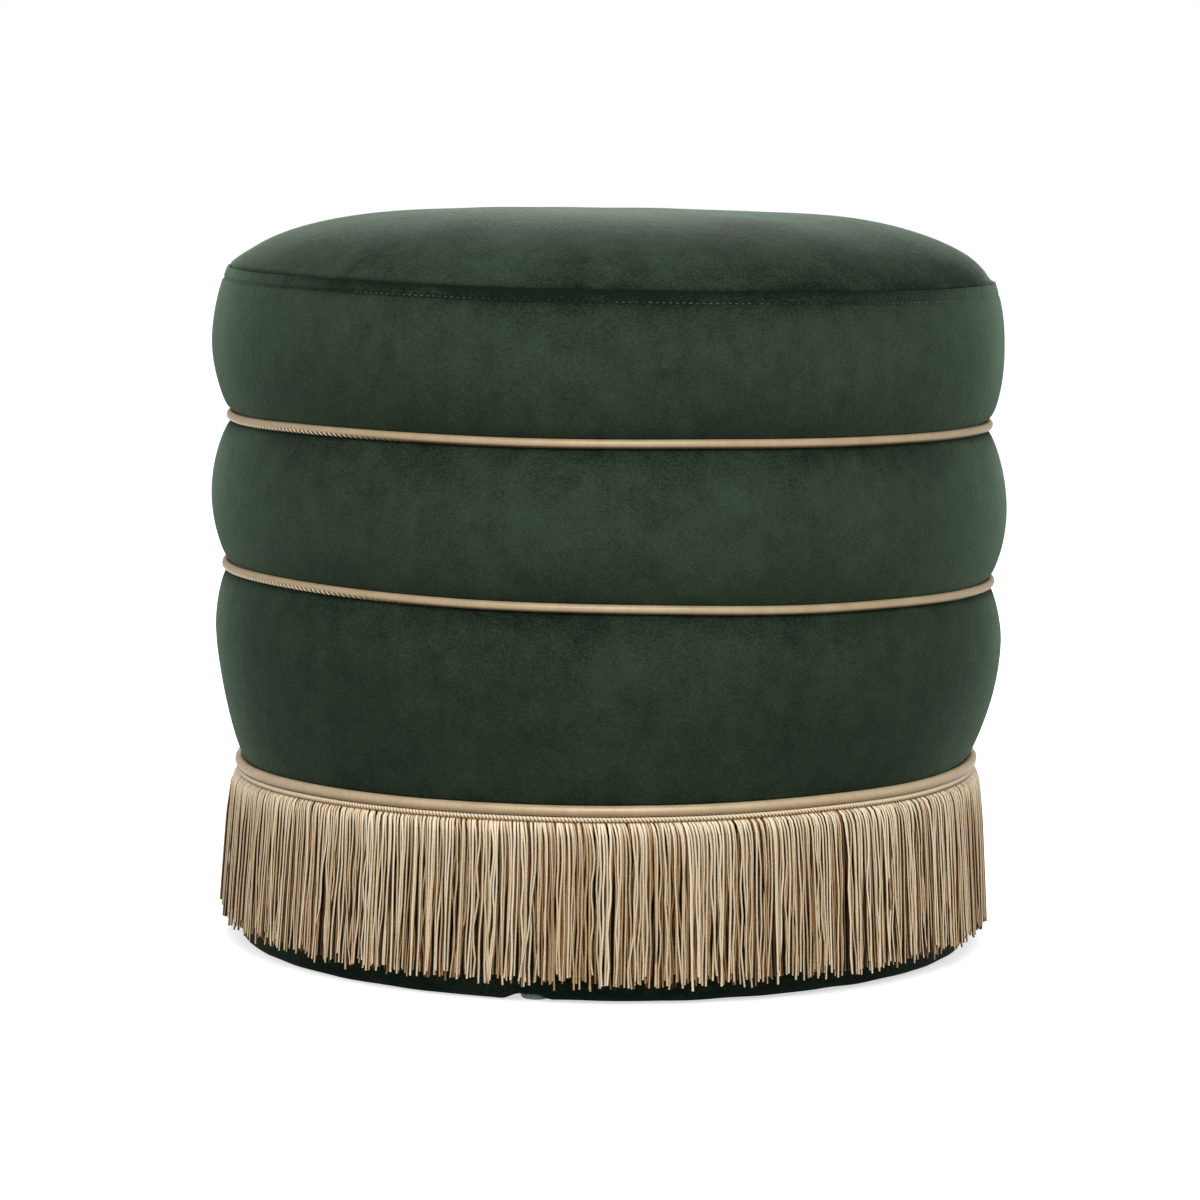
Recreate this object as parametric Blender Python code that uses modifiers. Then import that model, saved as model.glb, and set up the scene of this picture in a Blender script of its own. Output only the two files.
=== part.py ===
"""A round upholstered ottoman: a plywood drum, three padded velvet rolls parted by piping, and a fringe.

Metres, +Z up. The origin is the centre of the circle that the glides stand on, at floor level.
"""

import math

import bmesh
import bpy
from mathutils import Matrix, Vector

# Gaps between pieces that touch, and how far a cutter runs past the wall it cuts
FIT = 0.0003
OVERRUN = 0.004
MERGE = 0.00002

# Facets round every large turned piece. They share one count, so nested walls stay parallel
ROUND_FACETS = 32
GLIDE_FACETS = 10
SCREW_FACETS = 8

# The drum frame
DRUM_RADIUS = 0.2137
SHELL_WALL = 0.003
BASE_BOARD_THICKNESS = 0.018
SEAT_BOARD_THICKNESS = 0.015
HOOP_WIDTH = 0.0262
HOOP_THICKNESS = 0.012
POST_COUNT = 4
POST_DEPTH = 0.030
POST_WIDTH = 0.040
POST_EDGE_BEVEL = 0.002
FIRST_POST_TURN = math.radians(-100.6)

# Screws through the boards into the posts
SCREW_LENGTH = 0.045
SCREW_RADIUS = 0.002
SCREW_HEAD_RADIUS = 0.004
SCREW_HEAD_HEIGHT = 0.0024
SCREW_TIP_LENGTH = 0.005

# Nail-on glides
GLIDE_HEIGHT = 0.0035
GLIDE_RADIUS = 0.0085
GLIDE_CHAMFER = 0.001
GLIDE_SET_IN = 0.0097
NAIL_RADIUS = 0.00125
NAIL_HEAD_RADIUS = 0.004
NAIL_HEAD_THICKNESS = 0.001
NAIL_GRIP = 0.014
NAIL_TIP_LENGTH = 0.003
NAIL_RECESS_DEPTH = 0.002

# Cloth
VELVET = 0.0012
WADDING = 0.0025
DUST_CLOTH = 0.0006
PIPING_CLOTH = 0.0005
HEM_WIDTH = 0.0165
HEM_CORNER = 0.003
SEAM_ALLOWANCE = 0.008

# Heights, each from the one below it
PLINTH_HEIGHT = 0.110
LOWER_ROLL_HEIGHT = 0.1134
MIDDLE_ROLL_HEIGHT = 0.0891
UPPER_ROLL_HEIGHT = 0.0850
CROWN_RISE = 0.0395
SEAT_EDGE_FOAM = 0.039

# How far each groove and each roll stands out from the drum
LOWER_GROOVE_OUT = 0.0063
MIDDLE_GROOVE_OUT = 0.0150
UPPER_GROOVE_OUT = 0.0121
SEAM_OUT = 0.0139
LOWER_ROLL_OUT = 0.0211
MIDDLE_ROLL_OUT = 0.0235
UPPER_ROLL_OUT = 0.0222

# Where up each roll its widest line lies, and where its outline has points, from the widest line to the end
LOWER_WIDEST_SHARE = 0.63
MIDDLE_WIDEST_SHARE = 0.46
UPPER_WIDEST_SHARE = 0.51
ROLL_POINT_SHARES = (0.62, 1.0)

# The crown of the seat: its outline's points from the centre to the seam, and the powers of its curve
CROWN_POINT_SHARES = (0.0, 0.5, 0.74, 0.87, 0.95, 0.99, 1.0)
CROWN_FLATNESS = 4.25
CROWN_SHOULDER = 1.3

# Piping: a cord in a strip of cloth whose two edges run in to the drum
THIN_CORD_RADIUS = 0.00135
THICK_CORD_RADIUS = 0.00235
GROOVE_ROOT_REACH = 0.0011
GROOVE_LIP_RISE = 0.0009
GROOVE_LIP_TUCK = 0.0003
SLEEVE_TURNS = tuple(math.radians(turn) for turn in (96, 32, -32, -96))
CORD_FACETS = 6

# Foam stands this far inside the cloth over it, past the fit, to clear the cloth's flat facets
FOAM_EASE = 0.0008

# The fringe
HEADING_HEIGHT = 0.0044
HEADING_THICKNESS = 0.0026
HEADING_BEVEL = 0.0008
SKIRT_LENGTH = 0.0835
SKIRT_THICKNESS = 0.0022
SKIRT_SHOULDER_DROP = 0.012
SKIRT_SHOULDER_OUT = 0.0054
SKIRT_HEM_OUT = 0.0097
STRAND_GROUPS = 84
STRAND_GROOVE_DEPTH = 0.0014
HEM_RAGGEDNESS = 0.0032
HEM_RHYTHMS = (5.3, 1.7)

# Levels and radii that follow from the sizes
FOAM_INSET = VELVET + FIT + FOAM_EASE
DUST_COVER_BOTTOM = GLIDE_HEIGHT + FIT
HEM_BOTTOM = DUST_COVER_BOTTOM + DUST_CLOTH + FIT
BASE_BOARD_BOTTOM = HEM_BOTTOM + VELVET + FIT
BASE_BOARD_TOP = BASE_BOARD_BOTTOM + BASE_BOARD_THICKNESS
LOWER_GROOVE = PLINTH_HEIGHT
MIDDLE_GROOVE = LOWER_GROOVE + LOWER_ROLL_HEIGHT
UPPER_GROOVE = MIDDLE_GROOVE + MIDDLE_ROLL_HEIGHT
SEAM_HEIGHT = UPPER_GROOVE + UPPER_ROLL_HEIGHT
SEAT_BOARD_TOP = SEAM_HEIGHT - SEAT_EDGE_FOAM
SEAT_BOARD_BOTTOM = SEAT_BOARD_TOP - SEAT_BOARD_THICKNESS
BOARD_RADIUS = DRUM_RADIUS - SHELL_WALL - FIT
HOOP_INNER_RADIUS = BOARD_RADIUS - HOOP_WIDTH
POST_CORNER_RADIUS = HOOP_INNER_RADIUS * math.cos(math.pi / ROUND_FACETS) - FIT
POST_OUTER_FACE = math.sqrt(POST_CORNER_RADIUS**2 - (POST_WIDTH / 2) ** 2)
POST_CENTRE_RADIUS = POST_OUTER_FACE - POST_DEPTH / 2
GLIDE_CIRCLE_RADIUS = DRUM_RADIUS - GLIDE_SET_IN
PLINTH_RADIUS = DRUM_RADIUS + FIT + WADDING + FIT + VELVET
SEAM_RADIUS = DRUM_RADIUS + SEAM_OUT
POST_TURNS = [FIRST_POST_TURN + 2 * math.pi * i / POST_COUNT for i in range(POST_COUNT)]

for old in list(bpy.data.objects):
    bpy.data.objects.remove(old)

PARTS = bpy.data.collections.new("ottoman")
CUTTERS = bpy.data.collections.new("cutters")
bpy.context.scene.collection.children.link(PARTS)
bpy.context.scene.collection.children.link(CUTTERS)


def material(name, colour, roughness, metallic=0.0):
    """A Principled material of one colour."""
    made = bpy.data.materials.new(name)
    made.use_nodes = True
    shader = made.node_tree.nodes["Principled BSDF"]
    shader.inputs["Base Color"].default_value = (*colour, 1.0)
    shader.inputs["Roughness"].default_value = roughness
    shader.inputs["Metallic"].default_value = metallic
    made.diffuse_color = (*colour, 1.0)
    return made


GREEN_VELVET = material("green_velvet", (0.030, 0.062, 0.038), 0.85)
GOLD_LEATHER = material("gold_leather", (0.560, 0.400, 0.240), 0.45)
COTTON_CORD = material("cotton_cord", (0.780, 0.740, 0.660), 0.95)
FRINGE_YARN = material("fringe_yarn", (0.520, 0.380, 0.220), 0.80)
WHITE_WADDING = material("white_wadding", (0.830, 0.830, 0.800), 0.95)
SEAT_FOAM = material("seat_foam", (0.860, 0.800, 0.560), 0.95)
PLYWOOD = material("plywood", (0.620, 0.450, 0.270), 0.70)
PINE = material("pine", (0.720, 0.540, 0.330), 0.65)
HARDBOARD = material("hardboard", (0.330, 0.200, 0.110), 0.75)
BLACK_LINING = material("black_lining", (0.020, 0.020, 0.022), 0.95)
NYLON = material("nylon", (0.780, 0.790, 0.760), 0.40)
ZINC_STEEL = material("zinc_steel", (0.620, 0.600, 0.540), 0.35, 1.0)


def add(name, mesh, finish, collection=PARTS):
    """A mesh as an object in the parts' collection, shaded smooth across its shallow edges."""
    mesh.shade_smooth()
    mesh.set_sharp_from_angle(angle=math.radians(40))
    obj = bpy.data.objects.new(name, mesh)
    collection.objects.link(obj)
    if finish:
        obj.data.materials.append(finish)
    return obj


def turned(name, outline, finish, facets=ROUND_FACETS, wall=None, closed=False, collection=PARTS):
    """Turns an outline of (radius, height) points about Z. It runs down its outer side.

    An outline with a wall is one face of a shell, and the wall grows inwards from it.
    """
    mesh = bpy.data.meshes.new(name)
    shape = bmesh.new()
    points = [shape.verts.new((radius, 0.0, height)) for radius, height in outline]
    for first, second in zip(points, points[1:]):
        shape.edges.new((first, second))
    if closed:
        shape.edges.new((points[-1], points[0]))
    shape.to_mesh(mesh)
    shape.free()
    obj = add(name, mesh, finish, collection)
    spin = obj.modifiers.new("turn", "SCREW")
    spin.axis = "Z"
    spin.steps = facets
    spin.render_steps = facets
    spin.use_merge_vertices = True
    spin.merge_threshold = MERGE
    spin.use_smooth_shade = True
    if wall:
        shell = obj.modifiers.new("cloth", "SOLIDIFY")
        shell.thickness = wall
        shell.offset = -1.0
        shell.use_even_offset = True
    return obj


def cut(obj, cutter):
    """Takes the cutter's shape out of the object."""
    hole = obj.modifiers.new("hole", "BOOLEAN")
    hole.operation = "DIFFERENCE"
    hole.object = cutter


def disc(name, radius, bottom, top, finish):
    """A round board from the axis out to its edge."""
    outline = [(0.0, top), (radius, top), (radius, bottom), (0.0, bottom)]
    return turned(name, outline, finish)


def on_circle(radius, turn, height=0.0):
    """The point at this radius and turn round the ottoman's axis."""
    return Vector((radius * math.cos(turn), radius * math.sin(turn), height))


class Groove:
    """Where two pieces of velvet meet at a line of piping that runs round the drum."""

    def __init__(self, height, stands_out, cord_radius):
        self.height = height
        self.radius = DRUM_RADIUS + stands_out
        self.cord_radius = cord_radius
        self.piping_radius = cord_radius + FIT + PIPING_CLOTH

    def flange_offset(self):
        """How far from the groove's middle the velvet's turned-in edge has its outer face."""
        return FIT / 2 + PIPING_CLOTH + FIT

    def lip_offset(self):
        return self.piping_radius + GROOVE_LIP_RISE

    def edge_points(self, side):
        """The velvet's outer face from the drum out to its lip. Side is 1 above the piping, -1 below it."""
        root_radius = self.radius - self.piping_radius - GROOVE_ROOT_REACH
        flange_height = self.height + side * self.flange_offset()
        return [
            (DRUM_RADIUS + FIT, flange_height),
            (root_radius, flange_height),
            (self.radius - GROOVE_LIP_TUCK, self.height + side * self.lip_offset()),
        ]

    def foam_end(self, side):
        """The foam's points behind the velvet's turned-in edge, from the drum out to the lip."""
        (edge_radius, flange), (root_radius, _), (lip_radius, lip) = self.edge_points(side)
        level = flange + side * FOAM_INSET
        return [
            (edge_radius, level),
            (root_radius - FOAM_INSET / 2, level),
            (lip_radius - FOAM_INSET, lip + side * FOAM_INSET),
        ]


LOWER_PIPING = Groove(LOWER_GROOVE, LOWER_GROOVE_OUT, THICK_CORD_RADIUS)
MIDDLE_PIPING = Groove(MIDDLE_GROOVE, MIDDLE_GROOVE_OUT, THIN_CORD_RADIUS)
UPPER_PIPING = Groove(UPPER_GROOVE, UPPER_GROOVE_OUT, THIN_CORD_RADIUS)


class Roll:
    """The outer face of one padded roll: two half parabolas that meet at its widest line."""

    def __init__(self, low_end, high_end, height, start, widest_share, stands_out):
        self.low_radius, self.low = low_end
        self.high_radius, self.high = high_end
        self.widest = start + height * widest_share
        self.widest_radius = DRUM_RADIUS + stands_out

    def radius_at(self, height):
        above = height > self.widest
        end, end_radius = (self.high, self.high_radius) if above else (self.low, self.low_radius)
        share = (height - self.widest) / (end - self.widest)
        return self.widest_radius - (self.widest_radius - end_radius) * share**2

    def levels(self):
        """The heights of the outline's points, from the top end down to the bottom end."""
        above = [self.widest + share * (self.high - self.widest) for share in reversed(ROLL_POINT_SHARES)]
        below = [self.widest + share * (self.low - self.widest) for share in ROLL_POINT_SHARES]
        return [*above, self.widest, *below]

    def face(self):
        return [(self.radius_at(level), level) for level in self.levels()]

    def foam_face(self, bottom, top):
        """The foam's points under this roll's velvet between two heights, from the top down."""
        return [
            (self.radius_at(level) - FOAM_INSET, level) for level in self.levels() if bottom < level < top
        ]


LOWER_ROLL = Roll(
    LOWER_PIPING.edge_points(1)[-1], MIDDLE_PIPING.edge_points(-1)[-1],
    LOWER_ROLL_HEIGHT, LOWER_GROOVE, LOWER_WIDEST_SHARE, LOWER_ROLL_OUT,
)
MIDDLE_ROLL = Roll(
    MIDDLE_PIPING.edge_points(1)[-1], UPPER_PIPING.edge_points(-1)[-1],
    MIDDLE_ROLL_HEIGHT, MIDDLE_GROOVE, MIDDLE_WIDEST_SHARE, MIDDLE_ROLL_OUT,
)
UPPER_ROLL = Roll(
    UPPER_PIPING.edge_points(1)[-1], (SEAM_RADIUS, SEAM_HEIGHT),
    UPPER_ROLL_HEIGHT, UPPER_GROOVE, UPPER_WIDEST_SHARE, UPPER_ROLL_OUT,
)


def crown(edge_radius, edge_height, rise):
    """The seat's crowned outline, from the centre out to its edge."""
    heights = [(1 - share**CROWN_FLATNESS) ** (1 / CROWN_SHOULDER) for share in CROWN_POINT_SHARES]
    return [
        (share * edge_radius, edge_height + rise * height)
        for share, height in zip(CROWN_POINT_SHARES, heights)
    ]


# Screws and nails, each with a cutter that is larger all round by the fit
def screw_outline(grow):
    """A countersunk screw that points up, with its head's face at height zero."""
    return [
        (0.0, SCREW_LENGTH + grow),
        (SCREW_RADIUS + grow, SCREW_LENGTH - SCREW_TIP_LENGTH + grow),
        (SCREW_RADIUS + grow, SCREW_HEAD_HEIGHT),
        (SCREW_HEAD_RADIUS + grow, 0.0),
        (0.0, 0.0),
    ]


def screw_cutter_outline():
    outline = screw_outline(FIT)[:-1]
    return [*outline, (SCREW_HEAD_RADIUS + FIT, -OVERRUN), (0.0, -OVERRUN)]


def place_screw(name, turn, height, points_up):
    """A screw and its cutter on the posts' circle, with its head's face at this height."""
    way = Matrix.Identity(4) if points_up else Matrix.Rotation(math.pi, 4, "X")
    place = Matrix.Translation(on_circle(POST_CENTRE_RADIUS, turn, height)) @ way
    screw = turned(name, screw_outline(0.0), ZINC_STEEL, SCREW_FACETS)
    screw.matrix_world = place
    cutter = turned(name + "_cutter", screw_cutter_outline(), None, SCREW_FACETS, collection=CUTTERS)
    cutter.matrix_world = place
    return cutter


def nail_outline(grow):
    """A glide's nail, from its tip down to its head."""
    head_top = NAIL_RECESS_DEPTH - FIT
    tip = GLIDE_HEIGHT + NAIL_GRIP
    return [
        (0.0, tip + grow),
        (NAIL_RADIUS + grow, tip - NAIL_TIP_LENGTH + grow),
        (NAIL_RADIUS + grow, head_top),
        (NAIL_HEAD_RADIUS, head_top),
        (NAIL_HEAD_RADIUS, head_top - NAIL_HEAD_THICKNESS),
        (0.0, head_top - NAIL_HEAD_THICKNESS),
    ]


def nail_cutter_outline():
    outline = nail_outline(FIT)[:3]
    return [*outline, (0.0, outline[-1][1])]


# Boards, hoops and shell of the drum
base_board = disc("base_board", BOARD_RADIUS, BASE_BOARD_BOTTOM, BASE_BOARD_TOP, PLYWOOD)
seat_board = disc("seat_board", BOARD_RADIUS, SEAT_BOARD_BOTTOM, SEAT_BOARD_TOP, PLYWOOD)


def ring_outline(inner, outer, bottom, top):
    return [(outer, top), (outer, bottom), (inner, bottom), (inner, top)]


HOOPS = {"hoop_lower": LOWER_PIPING, "hoop_middle": MIDDLE_PIPING, "hoop_upper": UPPER_PIPING}
for hoop_name, groove in HOOPS.items():
    hoop_bottom = groove.height - HOOP_THICKNESS / 2
    hoop = ring_outline(HOOP_INNER_RADIUS, BOARD_RADIUS, hoop_bottom, hoop_bottom + HOOP_THICKNESS)
    turned(hoop_name, hoop, PLYWOOD, closed=True)

SHELL_BOTTOM = HEM_BOTTOM + HEM_CORNER + FIT + VELVET * (math.sqrt(2) - 1) + FIT
turned(
    "drum_shell",
    ring_outline(DRUM_RADIUS - SHELL_WALL, DRUM_RADIUS, SHELL_BOTTOM, SEAT_BOARD_TOP),
    HARDBOARD,
    closed=True,
)

# Posts, each between a base screw and a seat screw
for number, turn in enumerate(POST_TURNS, start=1):
    post_bottom = BASE_BOARD_TOP + FIT
    post_top = SEAT_BOARD_BOTTOM - FIT
    bpy.ops.mesh.primitive_cube_add(size=1.0)
    post = bpy.context.active_object
    post.name = f"post_{number}"
    post.data.transform(Matrix.Diagonal((POST_DEPTH, POST_WIDTH, post_top - post_bottom, 1.0)))
    post.location = on_circle(POST_CENTRE_RADIUS, turn, (post_bottom + post_top) / 2)
    post.rotation_euler.z = turn
    post.data.materials.append(PINE)
    bpy.context.collection.objects.unlink(post)
    PARTS.objects.link(post)
    edge = post.modifiers.new("worn_edges", "BEVEL")
    edge.width = POST_EDGE_BEVEL
    edge.segments = 1
    base_cutter = place_screw(f"base_screw_{number}", turn, BASE_BOARD_BOTTOM + FIT, True)
    seat_cutter = place_screw(f"seat_screw_{number}", turn, SEAT_BOARD_TOP - FIT, False)
    cut(base_board, base_cutter)
    cut(seat_board, seat_cutter)
    cut(post, base_cutter)
    cut(post, seat_cutter)


# Foam: a ring round the drum for each roll, and the seat pad on the seat board and the upper ring
def foam_ring(name, roll, lower, upper):
    """The foam of one roll. The upper roll's foam has a flat top, level with the seat board."""
    bottom_end = lower.foam_end(1)[::-1]
    top_end = upper.foam_end(-1) if upper else [
        (DRUM_RADIUS + FIT, SEAT_BOARD_TOP),
        (roll.radius_at(SEAT_BOARD_TOP) - FOAM_INSET, SEAT_BOARD_TOP),
    ]
    face = roll.foam_face(bottom_end[0][1], top_end[-1][1])
    turned(name, [*top_end, *face, *bottom_end], SEAT_FOAM, closed=True)


foam_ring("lower_roll_foam", LOWER_ROLL, LOWER_PIPING, MIDDLE_PIPING)
foam_ring("middle_roll_foam", MIDDLE_ROLL, MIDDLE_PIPING, UPPER_PIPING)
foam_ring("upper_roll_foam", UPPER_ROLL, UPPER_PIPING, None)

CROWN_RADIUS = SEAM_RADIUS - VELVET - FIT
FLANGE_BOTTOM = SEAM_HEIGHT - SEAM_ALLOWANCE
PAD_BOTTOM = SEAT_BOARD_TOP + FIT
pad_crown = crown(CROWN_RADIUS - FOAM_INSET, SEAM_HEIGHT - FOAM_INSET, CROWN_RISE)
pad_shoulder = (UPPER_ROLL.radius_at(FLANGE_BOTTOM) - 2 * FOAM_INSET, FLANGE_BOTTOM)
pad_side = [
    (UPPER_ROLL.radius_at(FLANGE_BOTTOM - VELVET) - FOAM_INSET, FLANGE_BOTTOM - VELVET),
    *UPPER_ROLL.foam_face(PAD_BOTTOM, FLANGE_BOTTOM - VELVET),
    (UPPER_ROLL.radius_at(PAD_BOTTOM) - FOAM_INSET, PAD_BOTTOM),
]
turned("seat_pad_foam", [*pad_crown, pad_shoulder, *pad_side, (0.0, PAD_BOTTOM)], SEAT_FOAM)

# Velvet: the seat panel, a band for each roll and the plinth's band with its hem under the base
flange_end = (UPPER_ROLL.radius_at(FLANGE_BOTTOM) - FOAM_INSET, FLANGE_BOTTOM)
turned(
    "seat_panel", [*crown(CROWN_RADIUS, SEAM_HEIGHT, CROWN_RISE), flange_end], GREEN_VELVET, wall=VELVET
)


def band(name, roll, lower, upper):
    """Velvet over one roll, with its edges turned in to the drum at the grooves it meets."""
    top = upper.edge_points(-1)[:2] if upper else []
    bottom = lower.edge_points(1)[1::-1]
    turned(name, [*top, *roll.face(), *bottom], GREEN_VELVET, wall=VELVET)


band("lower_band", LOWER_ROLL, LOWER_PIPING, MIDDLE_PIPING)
band("middle_band", MIDDLE_ROLL, MIDDLE_PIPING, UPPER_PIPING)
band("upper_band", UPPER_ROLL, UPPER_PIPING, None)

PLINTH_OUTLINE = [
    *LOWER_PIPING.edge_points(-1)[:2],
    (PLINTH_RADIUS, LOWER_GROOVE - LOWER_PIPING.lip_offset()),
    (PLINTH_RADIUS, HEM_BOTTOM + HEM_CORNER),
    (PLINTH_RADIUS - HEM_CORNER, HEM_BOTTOM),
    (PLINTH_RADIUS - HEM_WIDTH, HEM_BOTTOM),
]
plinth_band = turned("plinth_band", PLINTH_OUTLINE, GREEN_VELVET, wall=VELVET)
WADDING_TOP = LOWER_GROOVE - LOWER_PIPING.lip_offset() - VELVET - FIT
turned(
    "plinth_wadding",
    ring_outline(DRUM_RADIUS + FIT, DRUM_RADIUS + FIT + WADDING, SHELL_BOTTOM, WADDING_TOP),
    WHITE_WADDING,
    closed=True,
)

# Black lining under the base, and the glides that are nailed through it
dust_cover = disc(
    "dust_cover", BOARD_RADIUS - HEM_CORNER, DUST_COVER_BOTTOM, DUST_COVER_BOTTOM + DUST_CLOTH, BLACK_LINING
)
GLIDE_OUTLINE = [
    (GLIDE_RADIUS - GLIDE_CHAMFER, GLIDE_HEIGHT),
    (GLIDE_RADIUS, GLIDE_HEIGHT - GLIDE_CHAMFER),
    (GLIDE_RADIUS, GLIDE_CHAMFER),
    (GLIDE_RADIUS - GLIDE_CHAMFER, 0.0),
    (NAIL_HEAD_RADIUS + FIT, 0.0),
    (NAIL_HEAD_RADIUS + FIT, NAIL_RECESS_DEPTH),
    (NAIL_RADIUS + FIT, NAIL_RECESS_DEPTH),
    (NAIL_RADIUS + FIT, GLIDE_HEIGHT),
]
for number, turn in enumerate(POST_TURNS, start=1):
    place = on_circle(GLIDE_CIRCLE_RADIUS, turn)
    pad = turned(f"glide_pad_{number}", GLIDE_OUTLINE, NYLON, GLIDE_FACETS, closed=True)
    pad.location = place
    nail = turned(f"glide_nail_{number}", nail_outline(0.0), ZINC_STEEL, SCREW_FACETS)
    nail.location = place
    nail_cutter = turned(
        f"nail_cutter_{number}", nail_cutter_outline(), None, SCREW_FACETS, collection=CUTTERS
    )
    nail_cutter.location = place
    cut(base_board, nail_cutter)
    cut(dust_cover, nail_cutter)
    cut(plinth_band, nail_cutter)


# Piping: each sleeve folds round its cord and runs in to the drum as two layers
def piping(name, groove):
    leg_rise = FIT / 2 + PIPING_CLOTH
    neck_turn = math.pi - math.asin(leg_rise / groove.piping_radius)
    tube = [
        (
            groove.radius + groove.piping_radius * math.cos(turn),
            groove.height + groove.piping_radius * math.sin(turn),
        )
        for turn in (neck_turn, *SLEEVE_TURNS, -neck_turn)
    ]
    edge_radius = DRUM_RADIUS + FIT
    sleeve = [(edge_radius, groove.height + leg_rise), *tube, (edge_radius, groove.height - leg_rise)]
    turned(name + "_sleeve", sleeve, GOLD_LEATHER, wall=PIPING_CLOTH)
    turns = [-2 * math.pi * i / CORD_FACETS for i in range(CORD_FACETS)]
    cord_reach = groove.cord_radius * math.cos(SLEEVE_TURNS[1])
    cord = [
        (groove.radius + cord_reach * math.cos(turn), groove.height + cord_reach * math.sin(turn))
        for turn in turns
    ]
    turned(name + "_cord", cord, COTTON_CORD, closed=True)


piping("lower_piping", LOWER_PIPING)
piping("middle_piping", MIDDLE_PIPING)
piping("upper_piping", UPPER_PIPING)

# Fringe: a woven heading under the lower piping, and the skirt of strands that hangs from it
HEADING_TOP = LOWER_GROOVE - LOWER_PIPING.piping_radius - FIT
HEADING_BOTTOM = HEADING_TOP - HEADING_HEIGHT
HEADING_INNER = PLINTH_RADIUS + FIT
HEADING_OUTER = HEADING_INNER + HEADING_THICKNESS
turned(
    "fringe_heading",
    [
        (HEADING_OUTER - HEADING_BEVEL, HEADING_TOP),
        (HEADING_OUTER, HEADING_TOP - HEADING_BEVEL),
        (HEADING_OUTER, HEADING_BOTTOM + HEADING_BEVEL),
        (HEADING_OUTER - HEADING_BEVEL, HEADING_BOTTOM),
        (HEADING_INNER, HEADING_BOTTOM),
        (HEADING_INNER, HEADING_TOP),
    ],
    FRINGE_YARN,
    closed=True,
)


def fringe_skirt():
    """Strands that hang in groups: each group is a ridge, and its ends hang at uneven heights."""
    top = HEADING_BOTTOM - FIT
    rows = [
        (HEADING_OUTER, top),
        (HEADING_OUTER + SKIRT_SHOULDER_OUT, top - SKIRT_SHOULDER_DROP),
        (HEADING_OUTER + SKIRT_HEM_OUT, top - SKIRT_LENGTH),
    ]
    columns = 2 * STRAND_GROUPS
    shape = bmesh.new()
    made = bmesh.ops.create_circle(shape, segments=columns, radius=1.0)
    rings = [made["verts"]]
    edges = shape.edges[:]
    for _ in rows[1:]:
        grown = bmesh.ops.extrude_edge_only(shape, edges=edges)["geom"]
        edges = [item for item in grown if isinstance(item, bmesh.types.BMEdge)]
        rings.append([item for item in grown if isinstance(item, bmesh.types.BMVert)])
    for row, (ring, (radius, height)) in enumerate(zip(rings, rows)):
        for point in ring:
            turn = math.atan2(point.co.y, point.co.x)
            column = round(turn * columns / (2 * math.pi))
            sunk = STRAND_GROOVE_DEPTH if column % 2 and row else 0.0
            uneven = HEM_RAGGEDNESS if row == len(rows) - 1 else 0.0
            for rhythm in HEM_RHYTHMS:
                uneven *= math.sin(rhythm * column)
            point.co = on_circle(radius - sunk, turn, height + uneven)
    bmesh.ops.recalc_face_normals(shape, faces=shape.faces)
    mesh = bpy.data.meshes.new("fringe_skirt")
    shape.to_mesh(mesh)
    shape.free()
    skirt = add("fringe_skirt", mesh, FRINGE_YARN)
    strands = skirt.modifiers.new("strands", "SOLIDIFY")
    strands.thickness = SKIRT_THICKNESS
    strands.offset = -1.0


fringe_skirt()

for cutter in CUTTERS.objects:
    cutter.hide_render = True
    cutter.display_type = "WIRE"
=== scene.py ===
"""Looks of a round velvet ottoman: three padded rolls parted by gold piping, above a fringed plinth."""

import math
import random

import bmesh
import bpy
from mathutils import Matrix, Vector, noise


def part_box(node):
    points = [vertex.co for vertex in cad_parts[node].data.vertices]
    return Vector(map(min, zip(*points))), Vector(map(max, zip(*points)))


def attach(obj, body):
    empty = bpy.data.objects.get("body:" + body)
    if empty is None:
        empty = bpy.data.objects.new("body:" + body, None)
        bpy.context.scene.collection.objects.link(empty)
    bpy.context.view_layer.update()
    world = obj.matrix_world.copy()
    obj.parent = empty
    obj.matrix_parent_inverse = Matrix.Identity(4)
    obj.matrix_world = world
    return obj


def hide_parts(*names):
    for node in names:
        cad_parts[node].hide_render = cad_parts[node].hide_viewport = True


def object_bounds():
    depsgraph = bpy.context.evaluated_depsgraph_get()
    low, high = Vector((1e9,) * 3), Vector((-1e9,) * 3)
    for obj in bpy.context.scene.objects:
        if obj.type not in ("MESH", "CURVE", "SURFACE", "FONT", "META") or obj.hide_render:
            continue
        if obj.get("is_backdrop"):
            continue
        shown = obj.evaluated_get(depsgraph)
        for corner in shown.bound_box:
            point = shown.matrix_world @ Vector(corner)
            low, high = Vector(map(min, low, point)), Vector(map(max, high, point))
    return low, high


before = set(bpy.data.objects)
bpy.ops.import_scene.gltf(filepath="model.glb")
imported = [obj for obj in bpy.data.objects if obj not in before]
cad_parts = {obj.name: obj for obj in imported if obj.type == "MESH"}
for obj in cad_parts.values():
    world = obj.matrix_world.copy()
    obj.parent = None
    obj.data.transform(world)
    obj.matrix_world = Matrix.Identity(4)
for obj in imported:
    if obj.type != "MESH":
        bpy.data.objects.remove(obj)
cad_low, cad_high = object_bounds()


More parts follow.
